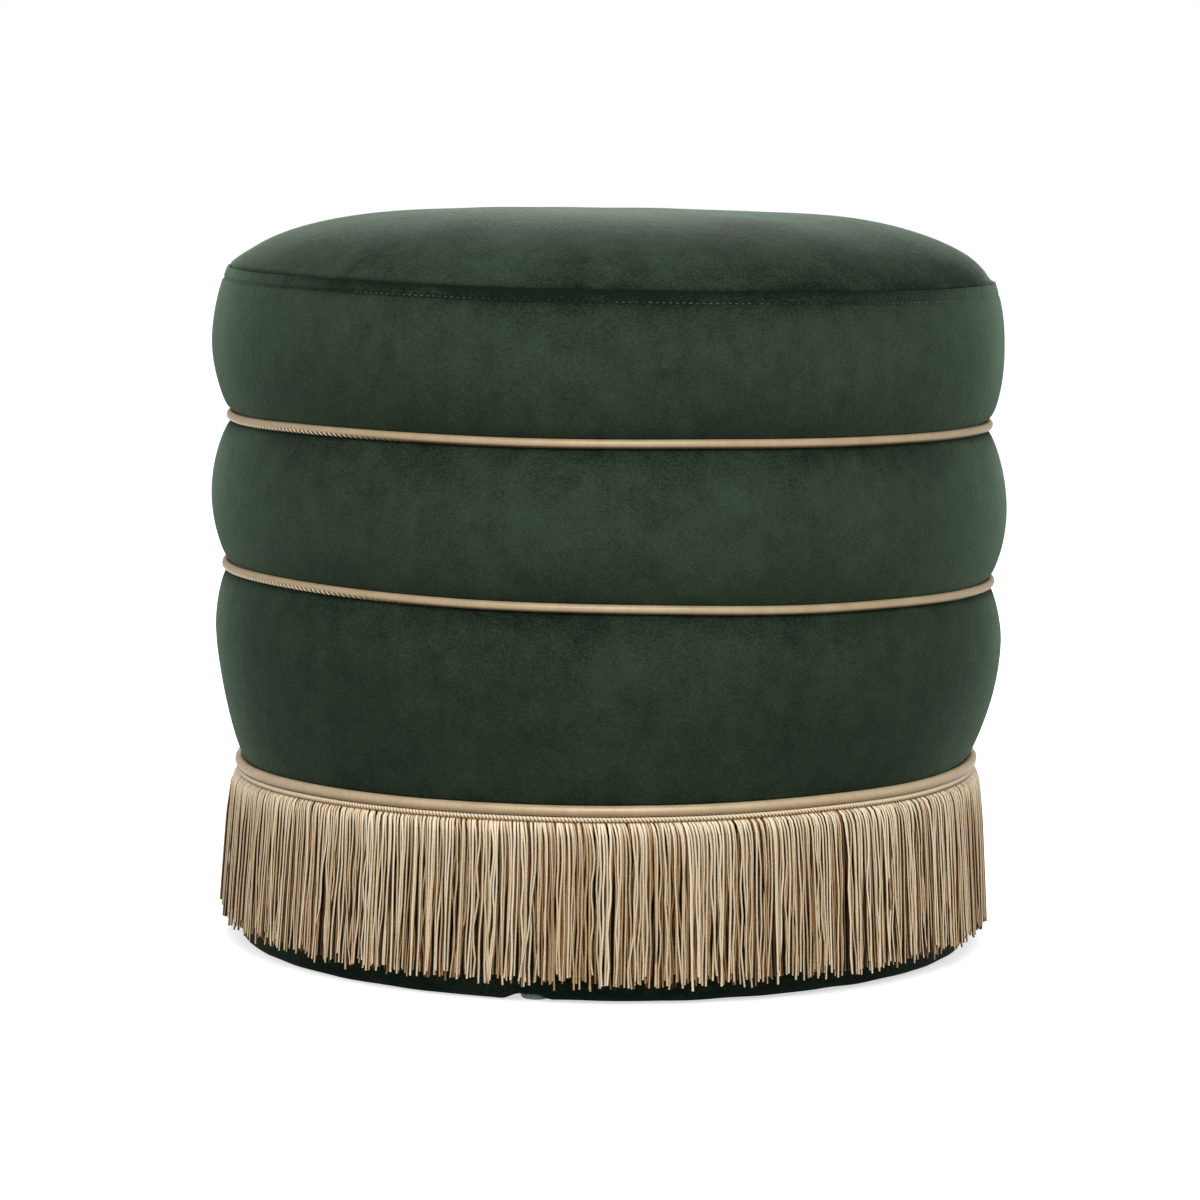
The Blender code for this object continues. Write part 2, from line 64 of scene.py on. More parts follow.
# Base board, seat board and three hoops: birch plywood sawn round. The boards close the drum's two ends,
# and each hoop stands level with a line of piping, where the cloth is stapled to it.
class Socket:
    """One output of a shader node. Sums on it are written as plain Python, and add Math nodes."""

    def __init__(self, tree, output=None):
        self.tree = tree
        self.output = output

    def node(self, kind, settings=None, values=None, output=0):
        """Adds a node: first its settings, a ramp's stops among them, then its sockets' values or links."""
        made = self.tree.nodes.new("ShaderNode" + kind)
        for setting, value in (settings or {}).items():
            if setting == "stops":
                for number, (share, colour) in enumerate(value):
                    ramp = made.color_ramp.elements
                    stop = ramp[number] if number < len(ramp) else ramp.new(share)
                    stop.position = share
                    stop.color = colour
            else:
                setattr(made, setting, value)
        for name, value in (values or {}).items():
            if isinstance(value, Socket):
                self.tree.links.new(value.output, made.inputs[name])
            else:
                made.inputs[name].default_value = value
        return Socket(self.tree, made.outputs[output])

    def maths(self, operation, *values):
        return self.node("Math", {"operation": operation}, dict(enumerate(values)))

    def __add__(self, other):
        return self.maths("ADD", self, other)

    def __sub__(self, other):
        return self.maths("SUBTRACT", self, other)

    def __rsub__(self, other):
        return self.maths("SUBTRACT", other, self)

    def __mul__(self, other):
        return self.maths("MULTIPLY", self, other)

    __radd__ = __add__
    __rmul__ = __mul__


def seen(red, green, blue):
    """A colour as a screen shows it, from 0 to 255, turned into linear light."""
    shares = [value / 255 for value in (red, green, blue)]
    linear = [share / 12.92 if share < 0.04045 else ((share + 0.055) / 1.055) ** 2.4 for share in shares]
    return (*linear, 1.0)


def finish(name, roughness, constants=None):
    """A new Principled material with its constant sockets set, and its piece's Object coordinates."""
    made = bpy.data.materials.new(name)
    made.use_nodes = True
    shader = made.node_tree.nodes["Principled BSDF"]
    shader.inputs["Roughness"].default_value = roughness
    for socket, value in (constants or {}).items():
        shader.inputs[socket].default_value = value
    return made, Socket(made.node_tree).node("TexCoord", output="Object")


def feed(made, links):
    """Links what changes over the surface to the material's shader."""
    shader = made.node_tree.nodes["Principled BSDF"]
    for name, socket in links.items():
        made.node_tree.links.new(socket.output, shader.inputs[name])


def stained(share, first, second):
    """Two colours mixed by a share that changes over the surface."""
    return share.node("Mix", {"data_type": "RGBA"}, {0: share, 6: first, 7: second}, 2)


def speckle(place, scale, detail=3.0, stretch=None):
    """Soft noise from about 0.3 to 0.7, of this many features to the metre. Stretch draws it out."""
    if stretch:
        place = place.node("Mapping", {}, {"Vector": place, "Scale": stretch})
    return place.node("TexNoise", {}, {"Vector": place, "Scale": scale, "Detail": detail})


def bumpy(height, strength, depth):
    """Light falls as if the surface stood up by the depth, in metres, where the height is 1."""
    return height.node("Bump", {}, {"Strength": strength, "Distance": depth, "Height": height})


def dress(made, *names):
    """Puts a material on CAD nodes whose shape is already right."""
    for name in names:
        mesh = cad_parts[name].data
        mesh.materials.clear()
        mesh.materials.append(made)


plywood, place = finish("birch_plywood", 0.62)
grain = speckle(place, 4.0, 6.0, (6.0, 90.0, 20.0))
wood = stained(grain * 0.6 + 0.259, seen(214, 184, 138), seen(150, 112, 70))
feed(plywood, {"Base Color": wood, "Normal": bumpy(grain, 0.4, 0.0003)})
dress(plywood, "base_board", "seat_board", "hoop_lower", "hoop_middle", "hoop_upper")

# Four posts of planed pine, screwed upright between the two boards, which they hold apart. Their grain
# runs along them.
pine, place = finish("pine", 0.58)
grain = speckle(place, 1.0, 5.0, (150.0, 150.0, 5.0))
wood = stained(grain * 0.5 + 0.296, seen(226, 190, 136), seen(168, 116, 66))
feed(pine, {"Base Color": wood, "Normal": bumpy(grain, 0.3, 0.0003)})
dress(pine, *[f"post_{number}" for number in range(1, 5)])

# The drum's wall: one sheet of thin brown hardboard bent round the boards and hoops, and stapled to them.
# It carries the padding of all three rolls.


def fibrous(name, roughness, dark, light, scale, detail, strength, depth, stretch=None):
    """A material of matted or woven fibres, whose noise mixes two colours and roughens the surface."""
    made, place = finish(name, roughness)
    fibre = speckle(place, scale, detail, stretch)
    feed(made, {"Base Color": stained(fibre, dark, light), "Normal": bumpy(fibre, strength, depth)})
    return made


hardboard = fibrous(
    "hardboard", 0.55, seen(122, 84, 54), seen(86, 56, 34),
    scale=420.0, detail=6.0, strength=0.35, depth=0.0002,
)
dress(hardboard, "drum_shell")

# Eight wood screws that hold the posts, and the four nails of the glides: zinc-plated steel, a little dull.
# The screws are driven in from below and from above, and the nails from below.
zinc, place = finish("zinc_steel", 0.34, {"Metallic": 1.0})
haze = speckle(place, 900.0)
plating = stained(haze, seen(196, 194, 186), seen(150, 148, 140))
feed(zinc, {"Base Color": plating, "Roughness": haze * 0.4 + 0.15})
dress(
    zinc,
    *[f"{end}_screw_{number}" for end in ("base", "seat") for number in range(1, 5)],
    *[f"glide_nail_{number}" for number in range(1, 5)],
)

# Foam of the three rolls: a strip of pale foam glued round the drum under each band, cut to the roll's
# bulge and drawn in at the grooves. Each stands a little inside the velvet that is stretched over it.
DRUM_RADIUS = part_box("drum_shell")[1].x
SEAT_BOARD_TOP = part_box("seat_board")[1].z
SLEEVE_FACET_REACH = math.cos(math.radians(32))
FIT = 0.0003
VELVET = 0.0012
PIPING_CLOTH = 0.0005
FOAM_INSET = VELVET + 3 * FIT
LIP_GAP = 0.0006
NECK_GAP = 0.0014
ROLL_END_INSET = 0.0012
FOAM_COLUMNS = 240
BACK = math.pi / 2
MERGE = 0.000002


class Line:
    """A line of piping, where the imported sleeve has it. Its girth is the sleeve's times the fullness."""

    def __init__(self, name, fullness):
        low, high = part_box(name + "_piping_sleeve")
        self.name = name
        self.height = (low.z + high.z) / 2
        self.tube = (high.z - low.z) / 2
        self.girth = self.tube * fullness
        self.radius = high.x - self.tube * SLEEVE_FACET_REACH

    def lip(self, side):
        """The height where the cloth over (1) or under (-1) the piping turns in beside it."""
        return self.height + side * (self.tube + LIP_GAP)

    def flange(self, side):
        """The turned-in edge of the cloth, from the drum out to beside the piping's neck."""
        level = self.height + side * (PIPING_CLOTH + 2 * FIT)
        return [(DRUM_RADIUS + 2 * FIT, level), (self.radius - self.tube - NECK_GAP, level)]


LOWER_LINE = Line("lower", 0.98)
MIDDLE_LINE = Line("middle", 1.21)
UPPER_LINE = Line("upper", 1.22)
SEAM_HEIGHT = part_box("upper_band")[1].z
SEAM_RADIUS = DRUM_RADIUS + 0.0139
# Each row: a height, and there the cloth's slope along X, drop, rise at both sides and shift along X.
SETTLING = [
    (0.0, 0.0, 0.0, 0.0, 0.0),
    (LOWER_LINE.height, 0.0140, -0.0012, 0.0, 0.0),
    ((LOWER_LINE.height + MIDDLE_LINE.height) / 2, -0.0010, -0.0016, 0.0, 0.0008),
    (MIDDLE_LINE.height, -0.0110, -0.0016, 0.0, 0.0),
    (UPPER_LINE.height, 0.0, -0.0003, 0.0, -0.0004),
    ((UPPER_LINE.height + SEAM_HEIGHT) / 2, -0.0040, 0.0, 0.0004, -0.0018),
    (SEAM_HEIGHT, -0.0105, 0.0, 0.0012, -0.0008),
    (SEAM_HEIGHT + 0.014, 0.0, -0.0003, 0.0012, -0.0008),
    (cad_high.z + 0.01, 0.0035, -0.0016, 0.0012, -0.0008),
]
WANDER = 0.0007
SEAM_SAG = 0.0018
SEAM_SAG_TURN = math.radians(227)
SEAM_SAG_REACH = 0.0094


def settling_at(height):
    """How the sewn lines have settled at this height, between the rows above and below it."""
    for (low, *first), (high, *second) in zip(SETTLING, SETTLING[1:]):
        if height <= high:
            share = max(0.0, (height - low) / (high - low))
            share = share * share * (3 - 2 * share)
            return [a + (b - a) * share for a, b in zip(first, second)]
    return [0.0, 0.0, 0.0, 0.0]


def apart(turn, other):
    """How far one turn is past another, from minus half a round to half a round."""
    return (turn - other + math.pi) % math.tau - math.pi


def ripple(turn, height, around, upright):
    """Soft noise from -1 to 1 on the drum's face, finer with the two numbers, round it and up it."""
    return noise.noise(Vector((around * math.cos(turn), around * math.sin(turn), upright * height)))


def bell(distance, reach):
    """1 in the middle, and down to a third at the reach on both sides."""
    return math.exp(-((distance / reach) ** 2))


def seam_sag(turn, height):
    """The seat's seam sags most at the front left, where the seat is plump and rolls over it."""
    away = apart(turn, SEAM_SAG_TURN)
    spread = math.radians(62 if away > 0 else 50)
    return SEAM_SAG * math.exp(-((away / spread) ** 2) - ((height - SEAM_HEIGHT) / SEAM_SAG_REACH) ** 2)


def settled(turn, radius, height):
    """A point of the cloth as hand work leaves it: its lines lean and wander by a few millimetres."""
    x, y = math.cos(turn), math.sin(turn)
    held = min(1.0, height / 0.05, radius / 0.15)
    wander = WANDER * held * ripple(turn, height, 2.2, 7.0)
    lean, drop, bow, shift = settling_at(height)
    reach = radius / SEAM_RADIUS
    lift = wander + lean * radius * x + drop + bow * (reach * x) ** 2 - seam_sag(turn, height)
    return Vector((radius * x + shift, radius * y, height + lift))


class Roll:
    """The outer face of a padded roll: two bowed halves from its widest line, that round off at the ends.

    It goes from the line of piping below it to the one above, or else to the seat's seam.
    """

    def __init__(
        self, lower, upper, widest_share, tucks, low_inset=ROLL_END_INSET, low_bend=2.0, fuller=0.0
    ):
        self.name = lower.name
        self.lower = lower
        self.upper = upper
        low, low_radius = lower.lip(1), lower.radius - low_inset
        if upper:
            high, high_radius = upper.lip(-1), upper.radius - ROLL_END_INSET
        else:
            high, high_radius = SEAM_HEIGHT - 0.0002, SEAM_RADIUS + 0.0002
        self.ends = {-1: (low, low_radius, tucks[0], low_bend), 1: (high, high_radius, tucks[1], 2.0)}
        self.widest_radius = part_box(self.name + "_band")[1].x + fuller
        self.widest = low + (high - low) * widest_share

    def radius_at(self, height):
        end, end_radius, tuck, bend = self.ends[1 if height > self.widest else -1]
        share = min(1.0, (height - self.widest) / (end - self.widest))
        bow = self.widest_radius - end_radius - tuck
        return self.widest_radius - bow * share**bend - tuck * share**18

    def face(self, rows):
        """The outline's points from the top end to the bottom end, closer together near the ends."""
        points = []
        for row in range(rows + 1):
            swing = math.sin(math.pi * (0.5 - row / rows))
            end = self.ends[1 if swing > 0 else -1][0]
            height = self.widest + abs(swing) * (end - self.widest)
            points.append((self.radius_at(height), height))
        return points


LOWER_ROLL = Roll(
    LOWER_LINE, MIDDLE_LINE, widest_share=0.68, tucks=(0.0008, 0.0012),
    low_inset=0.0014, low_bend=1.6, fuller=0.0010,
)
MIDDLE_ROLL = Roll(MIDDLE_LINE, UPPER_LINE, widest_share=0.46, tucks=(0.0014, 0.0016), fuller=0.0006)
UPPER_ROLL = Roll(UPPER_LINE, None, widest_share=0.48, tucks=(0.0026, 0.0003))


def laid_round(name, columns, outline, made, give=None, shade_and_pressing=None):
    """A strip laid round the drum, joined at the back. The outline is (radius, height) from the top down.

    Give adds to the radius by turn, height and radius. The last argument, by turn and height, marks from 0 to
    1
    how much the colour is darkened: painted shade, partly where the pile or the cloth lies flat. The strip's
    own map runs round and across it, in metres.
    """
    shape = bmesh.new()
    strip_map = shape.loops.layers.uv.new("strip")
    shade_and_pressing_mark = shape.verts.layers.float.new("shade_and_pressing")
    rows = len(outline) - 1
    bmesh.ops.create_grid(shape, x_segments=columns, y_segments=rows, size=0.5)
    across = [0.0]
    for first, second in zip(outline, outline[1:]):
        across.append(across[-1] + math.dist(first, second))
    round_it = math.tau * max(radius for radius, _ in outline)
    for face in shape.faces:
        for corner in face.loops:
            x, y = corner.vert.co.x, corner.vert.co.y
            corner[strip_map].uv = ((x + 0.5) * round_it, -across[round((0.5 - y) * rows)])
    for point in shape.verts:
        turn = BACK + math.tau * (point.co.x + 0.5)
        radius, height = outline[round((0.5 - point.co.y) * rows)]
        if shade_and_pressing:
            point[shade_and_pressing_mark] = shade_and_pressing(turn, height)
        if give:
            radius += give(turn, height, radius)
        point.co = settled(turn, radius, height)
    bmesh.ops.remove_doubles(shape, verts=shape.verts, dist=MERGE)
    return placed(name, shape, made), (round_it, across[-1])


def placed(name, shape, made, sharp=50):
    """A bmesh as an object at the origin, shaded smooth across its shallow edges."""
    mesh = bpy.data.meshes.new(name)
    shape.to_mesh(mesh)
    shape.free()
    mesh.shade_smooth()
    mesh.set_sharp_from_angle(angle=math.radians(sharp))
    mesh.materials.append(made)
    obj = bpy.data.objects.new(name, mesh)
    bpy.context.scene.collection.objects.link(obj)
    return obj


def stand_for(obj, slot, *replaced):
    """The piece rides on the ottoman and stands for the CAD nodes, which it hides. The slot is not used."""
    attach(obj, "root")
    if replaced:
        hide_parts(*replaced)


foam, place = finish("cut_foam", 0.95)
pores = place.node("TexVoronoi", {}, {"Vector": place, "Scale": 900.0})
tint = stained(pores * 0.5 + speckle(place, 30.0) * 0.5, seen(206, 186, 124), seen(238, 224, 178))
feed(foam, {"Base Color": tint, "Normal": bumpy(pores, 0.6, 0.0005)})
FOAM_CHAMFER = 0.0022


def foam_give(turn, height, radius):
    """Cut foam is never quite true."""
    return 0.0003 * ripple(turn, height, 40, 160) - FIT


def foam_section(roll):
    """The foam's whole section, from its outer face down, in along the drum and back up to the top."""
    neck, bottom = roll.lower.flange(1)[1]
    bottom += FOAM_INSET
    if roll.upper:
        end, top = roll.upper.flange(-1)[1]
        top -= FOAM_INSET
        chamfer = FOAM_CHAMFER
    else:
        end, top = roll.radius_at(SEAT_BOARD_TOP), SEAT_BOARD_TOP
        chamfer = 0.0
    return [
        (end - FOAM_INSET, top),
        *[
            (radius - FOAM_INSET, height)
            for radius, height in roll.face(22)
            if bottom + FOAM_CHAMFER < height < top - chamfer
        ],
        (neck - FOAM_INSET, bottom),
        (DRUM_RADIUS + 2 * FIT, bottom),
        (DRUM_RADIUS + 2 * FIT, top),
        (end - FOAM_INSET, top),
    ]


for roll in (LOWER_ROLL, MIDDLE_ROLL, UPPER_ROLL):
    pad, _ = laid_round(f"{roll.name}_roll_pad", FOAM_COLUMNS, foam_section(roll), foam, foam_give)
    stand_for(pad, "foam", f"{roll.name}_roll_foam")

# Seat pad: one crowned round of soft foam, cut to shape and glued on the seat board, its edge level with
# the upper roll's face.
SEAM_TURNED_DOWN = 0.008
CROWN_RISE = cad_high.z - SEAM_HEIGHT
PANEL_EDGE = SEAM_RADIUS - VELVET - FIT
CROWN_FLATNESS = 4.25
CROWN_SHOULDER = 1.3


def crown(edge_radius, edge_height, rise, rows):
    """The seat's crowned outline from the centre to its edge, closer together towards the shoulder."""
    points = []
    for row in range(rows + 1):
        share = math.sin(math.pi / 2 * row / rows) ** 0.8
        height = edge_height + rise * (1 - share**CROWN_FLATNESS) ** (1 / CROWN_SHOULDER)
        points.append((share * edge_radius, height))
    return points


flange_bottom = SEAM_HEIGHT - SEAM_TURNED_DOWN
pad_base = SEAT_BOARD_TOP + FIT
pad_face = [
    (radius - FOAM_INSET, height)
    for radius, height in UPPER_ROLL.face(30)
    if pad_base < height < flange_bottom - VELVET
]
pad_outline = [
    *crown(PANEL_EDGE - FOAM_INSET, SEAM_HEIGHT - FOAM_INSET, CROWN_RISE, 24),
    (PANEL_EDGE - 2 * FOAM_INSET, flange_bottom),
    *pad_face,
    (UPPER_ROLL.radius_at(pad_base) - FOAM_INSET, pad_base),
    (0.0, pad_base),
]
pad, _ = laid_round("seat_pad", FOAM_COLUMNS, pad_outline, foam)
stand_for(pad, "foam", "seat_pad_foam")

# Plinth wadding: a thin fleece of white polyester laid over the drum's wall, under the plinth's velvet, so
# that its foot is soft too.
wadding = fibrous(
    "white_wadding", 0.95, seen(196, 196, 190), seen(244, 244, 240),
    scale=260.0, detail=8.0, strength=0.7, depth=0.0008,
)
fleece_low, fleece_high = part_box("plinth_wadding")
FLEECE_ROWS = 14


def fleece_give(turn, height, radius):
    """The fleece thins out in soft patches. Its inner face stays on the drum."""
    if radius < DRUM_RADIUS + 3 * FIT:
        return 0.0
    return -0.0004 * (1 + ripple(turn, height, 9, 60))


fleece_face = [
    (fleece_high.x, fleece_high.z + (fleece_low.z - fleece_high.z) * row / FLEECE_ROWS)
    for row in range(FLEECE_ROWS + 1)
]
fleece_inner = DRUM_RADIUS + FIT
fleece_section = [*fleece_face, (fleece_inner, fleece_low.z), (fleece_inner, fleece_high.z), fleece_face[0]]
pad, _ = laid_round("plinth_fleece", FOAM_COLUMNS, fleece_section, wadding, fleece_give)
stand_for(pad, "wadding", "plinth_wadding")

# Bands: a strip of dark green cotton velvet over each roll, sewn into a ring at the back. Its two edges
# turn in at the grooves and are stapled to the hoops. The pile shows brushed patches and fine streaks.


def cut_velvet(name, sheen, spread, glint):
    """Dark green velvet. The sheen of its pile shows where the cloth is seen along its face."""
    made, place = finish(name, 0.85, {
        "Specular IOR Level": 0.10,
        "Sheen Weight": sheen,
        "Sheen Roughness": spread,
        "Sheen Tint": glint,
    })
    # The marked share darkens the cloth: painted shade in the grooves, under the seam, on the crown and
    # behind the fringe, partly pile lying flat.
    shade_and_pressing = place.node("Attribute", {"attribute_name": "shade_and_pressing"}, {}, "Fac")
    pile = speckle(place, 950.0)
    weave = speckle(place, 1.0, 2.0, (420.0, 420.0, 900.0))
    brushed = speckle(place, 70.0, 4.0)
    hazy = speckle(place, 14.0, 2.0)
    streaks = speckle(place, 1.0, 2.0, (200.0, 200.0, 22.0))
    smudge = place.node(
        "ValToRGB",
        {"stops": [(0.66, (0.0, 0.0, 0.0, 1.0)), (0.76, (1.0, 1.0, 1.0, 1.0))]},
        {0: speckle(place, 1.0, 3.0, (40.0, 40.0, 70.0))},
    )
    tone = (pile - 0.5) * 0.85 + (weave - 0.5) * 0.35 + (brushed - 0.5) * 0.45
    tone = tone + (hazy - 0.5) * 0.35 + (streaks - 0.5) * 0.15 + 0.5
    tone = tone.node("Math", {"operation": "SUBTRACT", "use_clamp": True}, {0: tone, 1: shade_and_pressing})
    cloth = stained(tone, seen(12, 24, 14), seen(68, 85, 68))
    cloth = stained(smudge * 0.30, cloth, seen(12, 22, 14))
    relief = pile + weave * 0.5 + brushed * 0.6 + streaks * 0.3
    feed(made, {"Base Color": cloth, "Normal": bumpy(relief, 0.6, 0.0006)})
    return made


velvet = cut_velvet("green_velvet", 0.40, 0.36, seen(188, 226, 194))
worn_velvet = cut_velvet("green_velvet_low", 0.39, 0.28, seen(188, 226, 194))
BAND_COLUMNS = 720
BAND_ROWS = 34
RUCKS_PER_METRE = 190.0
RUCK_DEPTH = 0.00035
RUCK_REACH = 0.0065
BAND_SOFTNESS = 0.0006


def lined(obj, thickness):
    """Gives a cloth its thickness, inwards from the face that shows."""
    wall = obj.modifiers.new("cloth", "SOLIDIFY")
    wall.thickness = thickness
    wall.offset = -1.0


def gathered(roll):
    """A band's small rucks: soft all over, and drawn up in short upright puckers beside each groove."""
    low, high = roll.ends[-1][0], roll.ends[1][0]
    turned_in = roll.ends[-1][1] - 0.002

    def give(turn, height, radius):
        if radius < turned_in:
            return 0.0
        near = min(abs(height - low), abs(high - height))
        soft = BAND_SOFTNESS * ripple(turn, height, 5, 18)
        puckers = ripple(turn, height, RUCKS_PER_METRE * radius, 30)
        patches = 0.5 + ripple(turn, height, 6, 9)
        fade = min(1.0, near / 0.002)
        return soft * fade + RUCK_DEPTH * puckers * max(0.0, patches) * math.exp(-near / RUCK_REACH)

    return give


def shaded_grooves(roll, over, over_reach, under, under_reach, all_over=0.0, left=0.0, sides=0.0):
    """Marks painted shade beside the groove above a roll (over) and the one below it, partly pile that the
    sewing leaves lying flat. All over darkens the whole roll, or lightens it below zero, as painted shade or
    light.

    Left adds painted shade to the roll's left side, and sides takes that share off the upper groove's mark at
    both sides.
    """
    low, high = roll.ends[-1][0], roll.ends[1][0]

    def shade_and_pressing(turn, height):
        x = math.cos(turn)
        patch = 1.0 + 0.6 * ripple(turn, height, 5, 14)
        above = over * (1 - sides * x * x) * math.exp(-max(0.0, high - height) / over_reach)
        below = under * math.exp(-max(0.0, height - low) / under_reach)
        return min(1.0, (above + below) * patch + all_over + left * max(0.0, -x) ** 6)

    return shade_and_pressing


# The lower roll is painted darker all over and the middle one lighter, and the middle one darker at its left:
# painted shade and light.
for roll, cloth, band_shade in (
    (LOWER_ROLL, worn_velvet, shaded_grooves(LOWER_ROLL, 0.34, 0.018, 0.12, 0.010, all_over=0.07, sides=0.75)),
    (MIDDLE_ROLL, velvet, shaded_grooves(MIDDLE_ROLL, 0.42, 0.018, 0.20, 0.011, all_over=-0.05, left=0.20)),
):
    outline = [*roll.upper.flange(-1), *roll.face(BAND_ROWS), *reversed(roll.lower.flange(1))]
    name = f"{roll.name}_band"
    band, cut_size = laid_round(f"{name}_velvet", BAND_COLUMNS, outline, cloth, gathered(roll), band_shade)
    lined(band, VELVET)
    stand_for(band, "green_velvet", name)

# Upper band: as the two below it, but its top edge is seamed to the seat panel, and a line of stitches
# runs round under the seam. Above them the doubled cloth is painted dark: painted shade under the seat's
# overhang, partly its pile lying flat.
STITCH_DROP = 0.0072
STITCH_VALLEY = 0.0005
STITCH_VALLEY_WIDTH = 0.0009
SEAM_LIP = 0.0007
SEAM_ROLLS_OVER = math.radians(190)
SEAM_SHADE_TURN = math.radians(277)
SEAM_SHADE_SPREAD = 0.42
stitch_height = SEAM_HEIGHT - STITCH_DROP
upper_rucks = gathered(UPPER_ROLL)
# Painted shade beside the groove at the upper roll's foot.
upper_groove_shade = shaded_grooves(UPPER_ROLL, 0.0, 0.01, 0.12, 0.012)


def rolled_over(turn):
    """1 where the seat panel swells over the seam, 0 where the band's edge stands in front of it instead."""
    return 0.5 + 0.5 * math.cos(turn - SEAM_ROLLS_OVER)


def at_left(turn):
    """1 at the far left, where the seam is drawn less tight, down to 0 at the front and the back."""
    return max(0.0, -math.cos(turn)) ** 2.2


def seam_lip(turn, height):
    """Where the seat panel doesn't swell over the seam, the seam stands out a little."""
    return SEAM_LIP * bell(height - SEAM_HEIGHT, 0.0016) * (1 - rolled_over(turn))


def stitched_down(turn, height, radius):
    """The upper band's rucks, and the valley that its stitches draw down."""
    valley = STITCH_VALLEY * (1 + 0.7 * at_left(turn))
    valley *= bell(height - stitch_height, STITCH_VALLEY_WIDTH)
    return upper_rucks(turn, height, radius) - valley + seam_lip(turn, height)


def shade_under_seam(turn, height):
    """Painted shade under the seat's overhang and in the stitches' valley, partly pile lying flat: darkest
    right under the seam, and lighter again below the stitches.
    """
    below = max(0.0, stitch_height - height)
    patch = 0.9 + 0.4 * ripple(turn, 0.0, 3, 0)
    front = bell(turn - SEAM_SHADE_TURN, SEAM_SHADE_SPREAD)
    depth = 0.58 * (0.30 + 0.70 * rolled_over(turn)) * (1 - 0.95 * at_left(turn))
    dark = depth * math.exp(-below / (0.0032 + 0.0110 * front)) * patch
    under = (0.05 + 0.36 * max(0.0, -math.sin(turn)) ** 2) * math.exp(-(SEAM_HEIGHT - height) / 0.0030)
    crease = (0.30 + 0.20 * at_left(turn)) * rolled_over(turn)
    crease *= bell(height - stitch_height + 0.0006, STITCH_VALLEY_WIDTH)
    return min(1.0, dark + under + crease + upper_groove_shade(turn, height))


outline = [*UPPER_ROLL.face(BAND_ROWS + 14), *reversed(UPPER_LINE.flange(1))]
band, cut_size = laid_round(
    "upper_band_velvet", BAND_COLUMNS, outline, velvet, stitched_down, shade_under_seam
)
lined(band, VELVET)
stand_for(band, "green_velvet", "upper_band")

# Seat panel: a round of the same velvet over the crown. Its edge swells a little over the seam, and the
# allowance is turned down inside the band.
PANEL_ROWS = 64
PANEL_SWELL = 0.0019
PANEL_SWELL_REACH = 0.0019
PANEL_SOFTNESS = 0.0007


def panel_give(turn, height, radius):
    """The crown is plump where it rolls over the seam, and pulled in where the band's edge stands up."""
    if height < SEAM_HEIGHT:
        return seam_lip(turn, height)
    edge = bell(height - SEAM_HEIGHT - PANEL_SWELL_REACH, PANEL_SWELL_REACH)
    swell = PANEL_SWELL * edge * (rolled_over(turn) - 0.25) * (1 - 0.6 * at_left(turn) ** 2)
    return swell + seam_lip(turn, height)


def crown_shade(turn, height):
    """Painted shade over the crown, and a painted shadow along its edge, most where the band's edge stands up
    in front of it; partly pile lying flat there.
    """
    above = max(0.0, height - SEAM_HEIGHT)
    patch = 1.0 + 0.8 * ripple(turn, above, 4, 8)
    edge = (0.06 + 0.38 * (1 - rolled_over(turn)) ** 2) * math.exp(-above / 0.008) * patch
    return 0.20 + edge


panel_outline = [
    *crown(PANEL_EDGE, SEAM_HEIGHT, CROWN_RISE, PANEL_ROWS),
    (PANEL_EDGE - 0.0007, SEAM_HEIGHT - 0.002),
    (PANEL_EDGE - 0.0010, flange_bottom),
]
crown_velvet = cut_velvet("green_velvet_crown", 1.0, 0.100, seen(217, 255, 219))
panel, _ = laid_round("seat_panel_velvet", 480, panel_outline, crown_velvet, panel_give, crown_shade)
crown_shade_marks = panel.data.attributes["shade_and_pressing"].data
for point in panel.data.vertices:
    reach = math.hypot(point.co.x, point.co.y) / PANEL_EDGE
    towards = math.cos(math.atan2(point.co.y, point.co.x) - SEAM_ROLLS_OVER)
    cloudy = 0.20 * noise.noise(Vector((26 * point.co.x, 18 * point.co.y, 0.0)))
    # Painted light and shade: the crown is made lighter at its middle and towards its left and right, and
    # darker in a ring part way out.
    upright = 0.34 * (0.5 + 0.5 * reach * towards) ** 6 + 0.18 * (0.5 - 0.5 * reach * towards) ** 6
    upright += 0.24 * bell(reach, 0.40) - 0.10 * bell(reach - 0.62, 0.16)
    crown_shade_marks[point.index].value += cloudy - upright
    wave = noise.noise(Vector((14 * point.co.x, 14 * point.co.y, 0.5)))
    point.co.z += PANEL_SOFTNESS * wave * max(0.0, 1 - reach**6)
lined(panel, VELVET)
stand_for(panel, "green_velvet", "seat_panel")
panel_cut = 2 * sum(math.dist(a, b) for a, b in zip(panel_outline, panel_outline[1:]))

# Topstitching: one row of small stitches of pale green thread, sewn through the band and the turned-down
# allowance under the seam. Each is sunk a little in the pile.
STITCH_PITCH = 0.0037
STITCH_LENGTH = 0.0032
STITCH_GIRTH = 0.00030
STITCH_RINGS = 4
STITCH_SINK = 0.0008
CLEAR_STITCHES = math.radians(-118)
CLEAR_PATCHES = 9
UP = Vector((0.0, 0.0, 1.0))


def out_at(turn):
    """The level way out from the drum's middle at this turn."""
    return Vector((math.cos(turn), math.sin(turn), 0.0))


def spun_thread(name, roughness, fuzz, dark, light):
    """Sewing thread, each stitch as pale as its tone, with a little fuzz."""
    made, place = finish(name, roughness)
    tone = place.node("Attribute", {"attribute_name": "tone"}, {}, "Fac")
    tint = stained(tone + (speckle(place, 900.0, 2.0) - 0.5) * fuzz, dark, light)
    feed(made, {"Base Color": tint})
    return made


